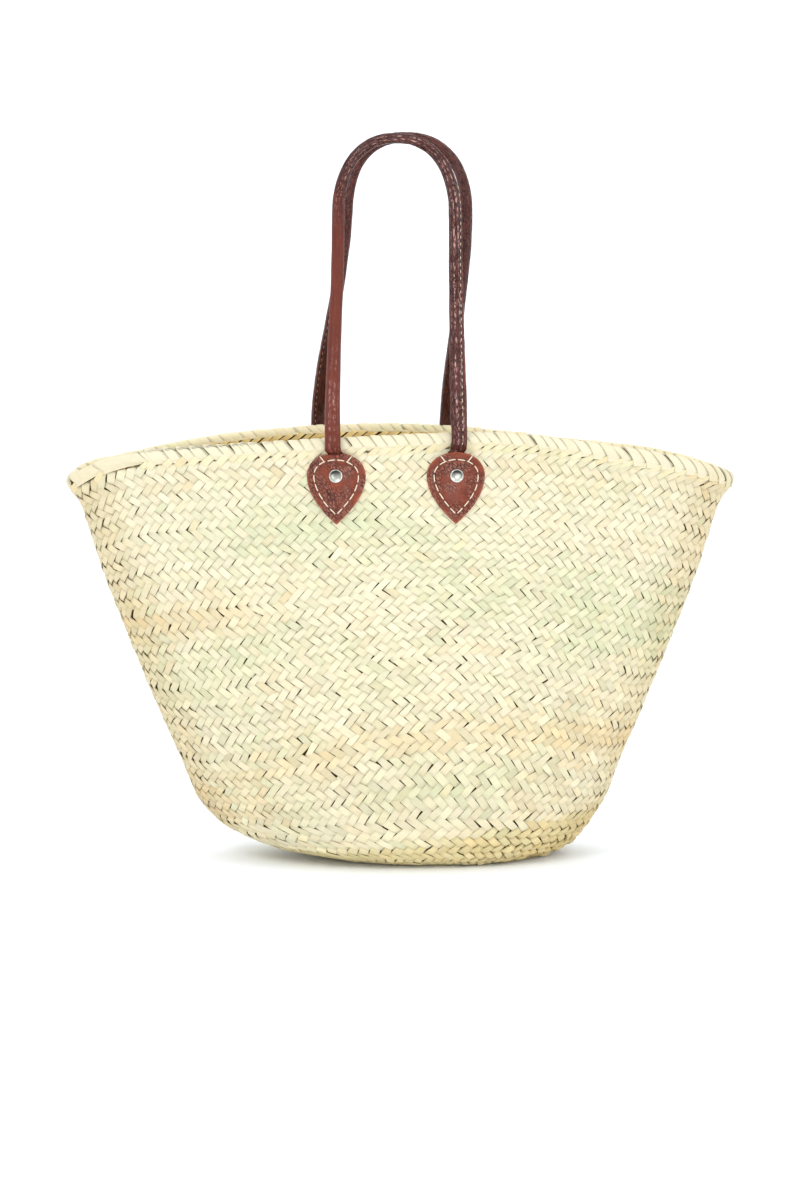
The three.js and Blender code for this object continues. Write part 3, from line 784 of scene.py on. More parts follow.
class BASKET_OT_plait(bpy.types.Operator):
    """Plait the basket's outer and inner faces, its base and what lies between them"""

    bl_idname = "basket.plait"
    bl_label = "Plait"

    # Half a leaf's length, for its veins, over the pitch
    HALF_LONG = 700

    def rows(self, settings):
        """Share of the height at each row of the plait, even along the front's slope."""
        ups = np.linspace(0, 1, 600)
        walked = walk(wall_point(np.full_like(ups, FRONT_MIDDLE), ups))
        count = round(walked[-1] / settings.row_height)
        return np.interp(np.linspace(0, walked[-1], count + 1), walked, ups)

    def lay_rows(self, settings):
        """Centres of the leaves, each with its band's count round the basket, and its slant."""
        row_ups = self.rows(settings)
        rows = len(row_ups) - 1
        leaves = []
        for row in range(rows):
            band = row // settings.band
            middle = min(rows, (band + 0.5) * settings.band)
            up = np.interp(middle, np.arange(rows + 1), row_ups)
            count = round(GIRTH.length(up) / settings.pitch)
            start = 0.37 * band + (0.5 if row % 2 else 0.0)
            edge = row % settings.band in (0, settings.band - 1)
            for step in range(count):
                leaves.append((step + start, row + 0.5, count, -1 if row % 2 else 1, edge))
        return row_ups, np.array(leaves, dtype=float)

    def face(self, name, settings, row_ups, leaves, rng, inside, seed):
        """One face of the plait over the given leaves."""
        along, across = (PLAIN_ALONG, PLAIN_ACROSS) if inside else (LEAF_ALONG, LEAF_ACROSS)
        start, level, around, slant, edge = leaves.T
        count = len(leaves)
        over = rng.random(count) < 0.05
        scales = np.stack([1 + rng.normal(0, 0.03, count) + edge * 0.12 + over * 0.4,
                           0.99 + rng.normal(0, 0.02, count)], axis=1)
        row_numbers = np.arange(len(row_ups))
        at = np.interp(level, row_numbers, row_ups)
        turned = np.cos(GIRTH.angle(start / around, at))
        fringe = (1 - smoothstep(at, 0.03, 0.13)) * smoothstep(turned, 0.1, 0.5)
        chance = 0.03 + 0.3 * fringe + 0.26 * (1 - at) ** 1.4
        chance = chance + 0.6 * smoothstep(np.abs(turned), 0.8, 0.98) + 0.08 * edge
        slits = np.where(rng.random(count) < chance, rng.uniform(0.15, 0.5, count), 0)
        a, r, s, c = plait_leaves(leaves[:, :2], slant, scales, rng, along, across, slits)
        up = np.interp(np.clip(r, 0, len(row_ups) - 1), row_numbers, row_ups)
        angle = GIRTH.angle(a / around[:, None], up)
        up = arched(angle, up)
        place = wall_point(angle, up)
        high = leaf_heights(settings, s, c, rng, count)
        high = high * (1 + 0.8 * smoothstep(np.abs(turned), 0.85, 1.0))[:, None]
        high = (high + over[:, None] * 0.3 * MILLIMETRE) * (1 + 2.6 * fringe)[:, None]
        if inside:
            high = -WALL - high
        points = place + wall_normal(angle, up) * high[..., None]
        points[..., 2] = np.maximum(points[..., 2], 0.2 * MILLIMETRE)
        tints = leaf_tints(settings, points[:, points.shape[1] // 2], rng, 0.7 if inside else 0.0, seed)
        facts = leaf_attributes(tints, s, c, rng, settings.pitch * self.HALF_LONG)
        return leaf_mesh(name, points, facts, along, across, (slant > 0) == inside)

    def shell(self):
        """The closed wall between the two faces of the plait."""
        steps, inset = 180, 0.6 * MILLIMETRE
        ups = np.concatenate([LEVELS[:-1, 0], [0.99]])
        angles = np.linspace(0, TURN, steps, endpoint=False)
        rings = []
        for up in ups:
            at = np.full(steps, up)
            rings.append(wall_point(angles, at) - wall_normal(angles, at) * inset)
        rings[0][:, 2] = 0.4 * MILLIMETRE
        for up in ups[::-1]:
            at = np.full(steps, up)
            inward = wall_normal(angles, at)
            if up == 0:
                inward[:] = (0, 0, -1)
            rings.append(wall_point(angles, at) - inward * (WALL - inset))
        rings[-1][:, 2] = WALL - inset
        middles = [rings[0].mean(axis=0), rings[-1].mean(axis=0)]
        points = np.concatenate([*rings, middles])
        quads = grid_faces(len(rings), steps, 1, True)
        bottom = cap_faces(0, steps, len(points) - 2, True)
        top = cap_faces((len(rings) - 1) * steps, steps, len(points) - 1)
        return mesh_object("plait_core", points, [quads, bottom, top])

    def base(self, settings, rng, name, height, inside, seed):
        """Leaves over the flat base, seen from below or inside."""
        half_long = LEVELS[0, 1] * MOUTH_LENGTH / 2
        half_deep = LEVELS[0, 2] * BELLY_DEPTH / 2
        shift = LEVELS[0, 3] * MOUTH_LENGTH / 2
        reach = 4 * MILLIMETRE
        columns = int(half_long / settings.pitch) + 3
        rows = int(half_deep / settings.row_height) + 3
        spots = []
        for row in range(-rows, rows + 1):
            odd = row % 2
            for step in range(-columns, columns + 1):
                x = (step + odd / 2) * settings.pitch
                y = (row + 0.5) * settings.row_height
                if (x / (half_long + reach)) ** 2 + (y / (half_deep + reach)) ** 2 < 1:
                    spots.append((x / settings.pitch, y / settings.row_height, -1 if odd else 1))
        leaves = np.array(spots, dtype=float)
        count = len(leaves)
        scales = np.stack([np.ones(count), 0.96 + rng.normal(0, 0.03, count)], axis=1)
        a, r, s, c = plait_leaves(leaves[:, :2], leaves[:, 2], scales, rng, PLAIN_ALONG, PLAIN_ACROSS)
        x, y = a * settings.pitch, r * settings.row_height
        over = np.sqrt((x / half_long) ** 2 + (y / half_deep) ** 2)
        shrink = np.where(over > 1, 1 / over, 1)
        high = leaf_heights(settings, s, c, rng, count) * 0.6
        z = height + (high if inside else np.minimum(0.4 * MILLIMETRE, 0.6 * MILLIMETRE - high))
        points = np.stack([shift + x * shrink, y * shrink, np.maximum(z, 0.1 * MILLIMETRE)], axis=-1)
        tints = leaf_tints(settings, points[:, points.shape[1] // 2], rng, 0.4, seed)
        facts = leaf_attributes(tints, s, c, rng, settings.pitch * self.HALF_LONG)
        return leaf_mesh(name, points, facts, PLAIN_ALONG, PLAIN_ACROSS, (leaves[:, 2] > 0) != inside)

    def execute(self, context):
        settings = context.scene.basket_plait
        rng = np.random.default_rng(SEED)
        row_ups, leaves = self.lay_rows(settings)
        outer = palm_material("palm_leaf")
        inner = palm_material("palm_leaf_inside")
        core = backing_material("plait_shade", tuple(settings.shade))
        finish_piece(self.shell(), "palm_weave", core, "woven_body")
        share = (leaves[:, 0] / leaves[:, 2]) % 1
        behind = (share > 0.25) & (share < 0.75)
        for name, chosen, inside, material, seed in (("plait_front", ~behind, False, outer, 0.0),
                                                     ("plait_back", behind, False, outer, 5.0),
                                                     ("lining_front", ~behind, True, inner, 11.0),
                                                     ("lining_back", behind, True, inner, 17.0)):
            piece = self.face(name, settings, row_ups, leaves[chosen], rng, inside, seed)
            finish_piece(piece, "palm_weave", material)
        finish_piece(self.base(settings, rng, "base_under", 0.0, False, 3.0), "palm_weave", outer)
        finish_piece(self.base(settings, rng, "base_inside", WALL, True, 9.0), "palm_weave", inner)
        return {"FINISHED"}


class BASKET_OT_rim(bpy.types.Operator):
    """Bind the rim with slanted wraps of palm leaf"""

    bl_idname = "basket.rim"
    bl_label = "Rim"

    # Angles of a wrap round the roll, in degrees, places across it, and its height at those places
    AROUND = np.linspace(-84, 264, 27)
    ACROSS = np.array([-1.0, -0.96, -0.6, -0.1, 0.3, 0.5, 0.64, 1.0])
    LIFT = np.array([-0.3, 0.8, 0.9, 0.85, 0.65, 0.4, 0.1, -0.3])
    FLUSH_LIFT = np.array([-0.3, 0.8, 0.82, 0.82, 0.81, 0.8, 0.8, -0.3])

    # Places round the mouth, in degrees: middle and half width of each, and change of the pitch there
    PITCHES = ((207, 22, 0.9), (185, 9, 0.5), (206, 5, 1.4), (322, 16, 0.4),
               (0, 14, -0.35), (360, 14, -0.35))

    # Where the wraps are looser, and where painted shadow arcs darken the tops of their bends
    LOOSE = (207, 22)
    OPEN_TOP_SHADOW = (232, 14)

    # Middle and half width, and how far the wraps stop short of the roll's foot there
    CHEVRON = ((-112, 38, 0.5), (-75, 20, 0.5), (98, 58, 0.6))

    # Edges of the two long wraps of the left tip, in degrees, and the parts of each
    LONG_WRAPS = (188.5, 204.0, 219.5)
    PARTS = 6

    def execute(self, context):
        settings = context.scene.basket_rim
        plait = context.scene.basket_plait
        rng = np.random.default_rng(SEED + 1)
        angles = FRONT_MIDDLE + np.linspace(0, TURN, 1441)
        middles, _out = rim_middle(angles)
        walked = walk(middles)
        starts, flush = self.lengthened(self.starts(settings, rng, walked, angles), walked, angles)
        self.wraps(settings, plait, rng, starts, flush, walked, angles)
        self.core(plait)
        edges = np.append(starts[:-1][~np.roll(flush, 1)], walked[-1])
        for name, inside in (("rim_tucks", False), ("rim_tucks_inside", True)):
            self.tucks(name, plait, rng, edges, walked, angles, inside)
        return {"FINISHED"}

    def starts(self, settings, rng, walked, angles):
        """Where each wrap starts along the rim, with the total length last."""
        starts = [0.0]
        while starts[-1] < walked[-1]:
            place = math.degrees(np.interp(starts[-1], walked, angles)) % 360
            change = sum(size * math.exp(-((place - at) / spread) ** 2) for at, spread, size in self.PITCHES)
            starts.append(starts[-1] + settings.pitch * (1 + change) * (1 + rng.normal(0, 0.09)))
        return np.array(starts) * walked[-1] / starts[-1]

    def lengthened(self, starts, walked, angles):
        """The wraps' starts with the long wraps of the left tip, each made of parts that lie flush."""
        ends = np.interp(np.radians(self.LONG_WRAPS), angles, walked)
        parts = [np.linspace(low, high, self.PARTS, endpoint=False) for low, high in zip(ends, ends[1:])]
        long = np.concatenate([*parts, ends[-1:]])
        room = 4 * MILLIMETRE
        starts = starts[(starts < ends[0] - room) | (starts > ends[-1] + room)]
        starts = np.sort(np.concatenate([starts, long]))
        place = np.searchsorted(starts, long)[:-1]
        flush = np.zeros(len(starts) - 1, dtype=bool)
        flush[place[(np.arange(len(place)) + 1) % self.PARTS != 0]] = True
        return starts, flush

    def raised(self, angle):
        """How far the wraps stop short of the roll's foot, where a second row shows under them."""
        share = sum(size * bell(wrapped(angle - math.radians(middle)), math.radians(spread), 4)
                    for middle, spread, size in self.CHEVRON)
        return np.clip(share, 0, 0.62)

    def along(self, settings, rng, starts, flush, first, looser, theta, c):
        """Places of the wraps' points along the rim: slanted, curved, and parted here and there."""
        count, pitches = len(flush), np.diff(starts)
        slant = settings.slant * (1 + 0.6 * looser + rng.normal(0, 0.12, count))[first, None]
        curve = -slant * (0.64 * theta + 0.25 * np.sin(theta * 2)) + slant * 0.25 * np.cos(theta)
        parted = (rng.random(count) < 0.22) & ~flush
        right_reach = np.where(parted, 0.41, 0.62)
        right_reach[np.flatnonzero(flush)[0] - 1] = 0.33
        left_reach = np.where(np.roll(parted, 1), 0.52, 0.62)
        reach = np.where(c > 0, right_reach[:, None], left_reach[:, None])
        along = (starts[:-1] + pitches / 2)[:, None] + curve + c * pitches[:, None] * reach
        return along + rng.normal(0, 0.3 * MILLIMETRE, count)[first, None] * np.sin(theta * 2)

    def wraps(self, settings, plait, rng, starts, flush, walked, angles):
        """The wraps round the roll. `first` is the part that each part of a long wrap repeats."""
        count = len(flush)
        numbers = np.arange(count)
        first = np.maximum.accumulate(np.where(np.append(False, flush[:-1]), 0, numbers))
        theta, c = np.meshgrid(np.radians(self.AROUND), self.ACROSS, indexing="ij")
        theta, c = theta.ravel()[None], c.ravel()[None]
        rows = len(self.AROUND)
        lift = np.where(flush[:, None], np.tile(self.FLUSH_LIFT, rows), np.tile(self.LIFT, rows))
        degrees = np.degrees(angles) % 360
        looser = np.interp(starts[:-1], walked, bell(degrees - self.LOOSE[0], self.LOOSE[1]))
        open_top_shadow = np.interp(starts[:-1], walked, bell(degrees - self.OPEN_TOP_SHADOW[0], self.OPEN_TOP_SHADOW[1], 4))
        along = self.along(settings, rng, starts, flush, first, looser, theta, c)
        angle = np.interp(along % walked[-1], walked, angles)
        middle, outward = rim_middle(angle)

        high = settings.edge * (1 + rng.normal(0, 0.2, count))[first, None] * lift
        loop = bell(theta - math.pi / 2, 0.6) * smoothstep(c, 0.2, -0.8)
        high = high + 1.2 * MILLIMETRE * (looser * (first == numbers) * ~flush)[:, None] * loop
        inset = 0.6 * MILLIMETRE
        level = (RIM_DEEP / 2 - inset + high) * np.cos(theta)
        rise = (RIM_TALL / 2 - inset + high) * np.sin(theta)

        under = np.clip(-np.sin(theta), 0, 1)
        raised = self.raised(angle)
        hem = np.sign(np.cos(theta)) * (WALL / 2 + 1.4 * MILLIMETRE + high)
        level = level + (hem - level) * smoothstep(under, 0.45, 1) * (1 - raised)
        grouped = flush | (first != numbers)
        inner = (2 * (numbers - first)[:, None] + 1 + c) / self.PARTS - 1
        across = np.where(grouped[:, None], inner, c)
        rise = rise + smoothstep(under, 0.3, 1) * (1.1 * MILLIMETRE * across + raised * RIM_TALL * 0.27)
        second_row = smoothstep(np.sin(angle), 0.2, 0.6) * (np.cos(theta) < 0)
        rise = rise + smoothstep(under, 0, 0.7) * second_row * RIM_TALL * 0.42
        points = middle + outward * level[..., None]
        points[..., 2] += rise

        half = points.shape[1] // 2
        tints = toward(leaf_tints(plait, points[:, half], rng, seed=23.0), plait.cream, 0.55)[first]
        behind = smoothstep(np.sin(angle[:, half]), 0.0, 0.4)[:, None] * 0.15
        facts = leaf_attributes(toward(tints, plait.gold, behind), theta * 0, c, rng, 0.0)
        place = facts["leaf_place"][1]
        place[..., 1] += theta * 6
        place[:] = place[first]
        place[..., 0] = across
        # Painted shade: a dark band along each wrap where the next one lies over it, and painted shadow arcs
        # under the loose tops of the wraps
        shadow_arcs = bell(np.degrees(theta) - 63 + 26 * c ** 2, 9) * (1 - smoothstep(np.abs(c), 0.5, 0.9))
        tucked_shade = smoothstep(c, 0.36, 0.64) * 2.0 * ~flush[:, None]
        facts["leaf_end_shade"][1][:] = tucked_shade + shadow_arcs * 5.6 * open_top_shadow[:, None]
        faces = grid_faces(rows, len(self.ACROSS), count)[:, ::-1]
        uvs = cell_uvs(count, (theta + 1.5) / 6.2, (c + 1) / 2, 5.0)
        wraps = crisp(mesh_object("rim_wraps", points, [faces], facts, uvs))
        finish_piece(wraps, "palm_rim", palm_material("rim_leaf"), "rim_binding")

    def core(self, plait):
        """The roll under the wraps."""
        steps, sides, inset = 240, 14, 0.9 * MILLIMETRE
        middle, outward = rim_middle(np.linspace(0, TURN, steps, endpoint=False))
        theta = np.linspace(0, TURN, sides, endpoint=False)
        points = middle[:, None] + outward[:, None] * (np.cos(theta) * (RIM_DEEP / 2 - inset))[None, :, None]
        points[..., 2] += np.sin(theta)[None] * (RIM_TALL / 2 - inset)
        quads = grid_faces(steps + 1, sides, 1, True) % (steps * sides)
        roll = mesh_object("rim_core", points, [quads[:, ::-1]])
        finish_piece(roll, "palm_rim", backing_material("rim_shade", tuple(plait.shade)))

    def tucks(self, name, plait, rng, starts, walked, angles, inside):
        """Flat strands that run up from the plait and under each wrap."""
        starts, count = starts[:-1], len(starts) - 1
        s, c = np.meshgrid(LEAF_ALONG, PLAIN_ACROSS, indexing="ij")
        s, c = s.ravel()[None], c.ravel()[None]
        at = np.interp(starts, walked, angles)
        raised = self.raised(at)[:, None]
        behind = inside * smoothstep(np.sin(at), 0.2, 0.6)[:, None]
        long = (7.2 - 1.6 * raised) * MILLIMETRE * (1 + rng.normal(0, 0.12, count))[:, None]
        wide = 2 * MILLIMETRE * (1 + rng.normal(0, 0.12, count))[:, None]
        slope = 0.42 + 0.55 * raised + rng.normal(0, 0.05, count)[:, None]
        along = s * long - c * wide * slope
        along = starts[:, None] + (-along if inside else along)
        drop = RIM_TALL * (1.05 - 0.32 * raised) + rng.normal(0, 0.3 * MILLIMETRE, count)[:, None]
        drop = drop - behind * 0.2 * RIM_TALL - s * long * slope - c * wide
        drop = np.maximum(drop, RIM_TALL * (0.52 - 0.1 * behind))
        angle = np.interp(along % walked[-1], walked, angles)
        _middle, outward = rim_middle(angle)
        share = np.clip((drop - RIM_TALL / 2) / (RIM_TALL / 2), 0, 1)
        roll = RIM_DEEP / 2 * np.sqrt(1 - share ** 2)
        lifted = 1 - 1.4 * smoothstep(-s, 0.5, 1.2) - 1.2 * smoothstep(s, 0.35, 0.9)
        lifted = lifted - 0.8 * (np.abs(c) > 0.97)
        away = np.maximum(roll - 0.6 * MILLIMETRE, WALL / 2 + 0.4 * MILLIMETRE) + lifted * MILLIMETRE
        height = rim_top(angle) - drop
        skin = wall_point(angle, np.clip(height / wall_top(angle), 0, 1)) - outward * WALL / 2
        points = skin + outward * (-away if inside else away)[..., None]
        points[..., 2] = height
        tints = leaf_tints(plait, points[:, points.shape[1] // 2], rng, 0.75 if inside else 0.18, 41.0)
        facts = leaf_attributes(tints, s, c, rng, 6.0)
        tucks = leaf_mesh(name, points, facts, LEAF_ALONG, PLAIN_ACROSS)
        finish_piece(tucks, "palm_rim", bpy.data.materials["rim_leaf"])


# Handles, patches and rivets

def bezier(points, count):
    """Points along one cubic curve, its last point left out."""
    t = np.linspace(0, 1, count, endpoint=False)[:, None]
    a, b, c, d = (np.array(point) for point in points)
    return a * (1 - t) ** 3 + 3 * b * t * (1 - t) ** 2 + 3 * c * t ** 2 * (1 - t) + d * t ** 3


def patch_outline(count=28):
    """A patch's outline round its rivet: a broad round top that runs down to a point."""
    half, low, top = PATCH_WIDE / 2, -PATCH_BELOW, PATCH_ABOVE
    lower = [(0, low), (half * 0.5, low * 0.72), (half, low * 0.38), (half, 0)]
    upper = [(half, 0), (half, top * 0.59), (half * 0.55, top), (0, top)]
    mirrored = [[(-x, z) for x, z in curve[::-1]] for curve in (upper, lower)]
    return np.concatenate([bezier(curve, count) for curve in (lower, upper, *mirrored)])


def patch_lift(across, above):
    """How far the handle's flattened end lifts a patch off the wall."""
    opened = smoothstep(above / PATCH_ABOVE, 0.4, 0.8)
    thick = TAIL_THICK * (1 + 0.5 * opened) + GAP
    sideways = 1 - smoothstep(np.abs(across), TAIL_WIDE / 2, PATCH_WIDE / 2)
    endways = smoothstep(above, -PATCH_BELOW, -2 * TAIL_BELOW)
    return thick * sideways * endways


def skin_noise(points, seed=0.0, scale=1):
    """Noise over a piece of leather, different for each seed."""
    return noise_at(points, scale, (seed, -seed, 2 * seed))


def capsules(lines, across, up, radius, ends=0.62):
    """Rounded threads along lines of points, each line an (n, 3) row of `lines`."""
    count, stations = lines.shape[:2]
    sides = 8
    turn = np.linspace(0, TURN, sides, endpoint=False)
    taper = np.ones(stations)
    taper[[0, -1]] = 0.02
    taper[[1, -2]] = ends
    cos, sin = np.cos(turn)[:, None], np.sin(turn)[:, None]
    ring = across[:, :, None] * cos + up[:, :, None] * sin
    points = lines[:, :, None] + ring * (radius * taper)[None, :, None, None]
    faces = grid_faces(stations, sides, count, True)[:, ::-1]
    own = np.arange(count)[:, None, None] * 3.7
    length = np.linspace(0, 6, stations)[None, :, None]
    place = np.stack(np.broadcast_arrays((turn / TURN)[None, None, :], length + 0 * own, own), axis=-1)
    return points, faces, place


def thread_mesh(name, points, out, forward, radius, ends=0.62):
    """Stitches as one mesh."""
    made, faces, place = capsules(points, np.cross(out, forward), out, radius, ends)
    return mesh_object(name, made, [faces], {"thread_place": ("FLOAT_VECTOR", place)})


def leather_mesh(name, points, faces, hide, wear, folded, polish):
    """A piece of leather with what its material reads at each point."""
    return mesh_object(name, points, faces, {
        "hide_place": ("FLOAT_VECTOR", hide), "hide_wear": ("FLOAT", wear),
        "hide_folds": ("FLOAT", folded), "hide_polish": ("FLOAT", polish)})


class HandleLine:
    """A handle's middle line from its left foot to its right one, with its section all along."""

    STATIONS = 300
    LEG_STEPS = 9
    ARCH_STEPS = 18

    # Above the rim: share of the way up to the arch, then width and depth in tube thicknesses
    SECTION_UPS = (0, 0.12, 0.35, 0.75, 1)
    SECTION_WIDE = (1.2, 1.14, 1.0, 0.96, 0.8)
    SECTION_DEEP = (0.8, 1.0, 1.0, 0.95, 0.9)

    # Under the patch: height over the rivet, then width and thickness in those of the flat end
    FOOT = ((-TAIL_BELOW, 0.55, 0.55), (-0.7 * TAIL_BELOW, 1, 1), (0, 1, 1), (0.6 * PATCH_ABOVE, 1, 1),
            (PATCH_ABOVE, 1, 1.5))
    RIM_HUGS = (0, 0.35, 0.7, 1)

    # Where the seam runs round the handle, in radians, at shares of its length
    FRONT_SEAM = ((0, 0.5, 0.57, 0.63, 0.7, 1), (0.8, 0.9, 0.7, -0.1, -0.5, -0.95))
    BACK_SEAM = ((0, 0.35, 0.5, 1), (-0.75, -0.6, 0.5, 0.9))

    def __init__(self, side, rivets, legs, rise, lean):
        self.side = side
        feet = [self.foot(HANDLE_OFFSET + way * rivets / 2) for way in (-1, 1)]
        self.low = [foot[-1][0] for foot in feet]
        self.peak = RIM_HEIGHT + rise - 0.4 * HANDLE_THICK
        springing = self.peak - ARCH_RISE
        middle = HANDLE_OFFSET + lean
        legs_up = [self.leg(which, middle + way * legs / 2, springing) for which, way in enumerate((-1, 1))]
        bow = []
        for turn in np.linspace(math.pi, 0, self.ARCH_STEPS + 1):
            x = middle + legs / 2 * math.copysign(abs(math.cos(turn)) ** ARCH_POWER, math.cos(turn))
            z = springing + ARCH_RISE * max(0, math.sin(turn)) ** ARCH_POWER
            bow.append(self.station(0 if x < middle else 1, x, z))
        stations = [*feet[0], *legs_up[0], *bow, *legs_up[1][::-1], *feet[1][::-1]]
        places, wide, deep, outward, level = (np.array(values) for values in zip(*stations))
        walked = walk(places)
        self.length = walked[-1]
        self.walked = np.linspace(0, self.length, self.STATIONS)
        self.middle = self.smooth(walked, places, self.walked)
        self.wide, self.deep, level = (np.interp(self.walked, walked, row) for row in (wide, deep, level))
        self.level = level[:, None]
        outward = self.read(self.walked, walked, outward)
        tangent = unit(np.gradient(self.middle, axis=0))
        upright = np.zeros_like(tangent)
        upright[:, 2] = np.sign(tangent[:, 2])
        self.forward = unit(tangent * (1 - self.level) + upright * self.level)
        self.front = unit(outward - self.forward * np.sum(outward * self.forward, axis=1, keepdims=True))
        self.across = np.cross(self.forward, self.front)

    def station(self, which, x, z):
        """Place, width, depth, way out and levelness of the section at a point above the rim."""
        low = self.low[which]
        up = (z - low[2]) / (self.peak - low[2])
        y = low[1] + (self.side * ARCH_GAP / 2 - low[1]) * math.sin(up * math.pi / 2)
        wide = np.interp(up, self.SECTION_UPS, self.SECTION_WIDE)
        deep = np.interp(up, self.SECTION_UPS, self.SECTION_DEEP)
        if which == 0 and self.side == BACK:
            wide = wide * (1 + 0.35 * float(bell(up - 0.82, 0.14)))
        if which == 1 and self.side == FRONT:
            wide = wide * (1 + 0.13 * (1 - float(smoothstep(up, 0.3, 0.8))))
        return np.array([x, y, z]), wide * HANDLE_THICK, deep * HANDLE_THICK, np.array([0, self.side, 0]), 0.0

    def leg(self, which, upper, springing):
        """Stations of one leg, from its foot to the arch's springing."""
        low = self.low[which]
        made = []
        for step in range(1, self.LEG_STEPS):
            share = step / self.LEG_STEPS
            x = low[0] + (upper - low[0]) * float(smoothstep(share, 0, 1))
            made.append(self.station(which, x, low[2] + (springing - low[2]) * share))
        return made

    def foot(self, x):
        """Stations of one foot, from its flattened end up past the rim."""
        side = self.side
        z = RIM_HEIGHT - RIVET_DROP
        angle, _up = wall_place(side, x, z)
        rim, outward = rim_middle(angle)
        lip = z + PATCH_ABOVE + PATCH_LIP
        made = []
        for rise, wide, deep in self.FOOT:
            thick = TAIL_THICK * deep
            made.append((off_wall(side, x, z + rise, GAP + thick / 2), TAIL_WIDE * wide, thick, outward, 1.0))
        heights = [(share, lip + (rim[2] - lip) * share) for share in self.RIM_HUGS]
        for share, height in (*heights, (1, rim[2] + RIM_TALL / 2)):
            deep = TAIL_THICK * self.FOOT[-1][2] * (1 - share) + HANDLE_THICK * self.SECTION_DEEP[0] * share
            wide = TAIL_WIDE * (1 - share) + HANDLE_THICK * self.SECTION_WIDE[0] * share
            below = min(max((rim[2] - height) / (RIM_TALL / 2), 0), 1)
            bulge = RIM_DEEP / 2 * math.sqrt(1 - below ** 2)
            middle = rim + outward * (max(WALL / 2 + GAP, bulge + RIM_GAP) + deep / 2)
            middle[2] = height
            made.append((middle, wide, deep, outward, 1.0))
        return made

    @staticmethod
    def read(at, walked, values):
        """Vectors along a line, read between its points."""
        return np.stack([np.interp(at, walked, values[:, axis]) for axis in range(3)], axis=-1)

    @staticmethod
    def smooth(at, values, fine):
        """Catmull-Rom line through values, read at even distances."""
        tangents = np.gradient(values, at, axis=0)
        row = np.clip(np.searchsorted(at, fine, side="right") - 1, 0, len(at) - 2)
        width = (at[row + 1] - at[row])[:, None]
        t = (fine - at[row])[:, None] / width
        return ((1 + 2 * t) * (1 - t) ** 2 * values[row] + t ** 2 * (3 - 2 * t) * values[row + 1]
                + t * (1 - t) ** 2 * width * tangents[row] - t ** 2 * (1 - t) * width * tangents[row + 1])

    def surface(self, walked, theta, lift=0.0):
        """Points on the handle's skin, with the way out and the way along there."""
        middle, across, front, forward = (self.read(walked, self.walked, values) for values
                                          in (self.middle, self.across, self.front, self.forward))
        wide = np.interp(walked, self.walked, self.wide) / 2
        deep = np.interp(walked, self.walked, self.deep) / 2
        cos, sin = np.cos(theta), np.sin(theta)
        out = unit(across * (cos / wide)[..., None] + front * (sin / deep)[..., None])
        point = middle + across * (wide * cos)[..., None] + front * (deep * sin)[..., None]
        return point + out * np.asarray(lift)[..., None], out, unit(forward)

    def seam(self, walked):
        """The angle at which the seam runs round the handle."""
        share = walked / self.length
        if self.side == FRONT:
            return math.pi + np.interp(share, *self.FRONT_SEAM)
        return np.interp(share, *self.BACK_SEAM)


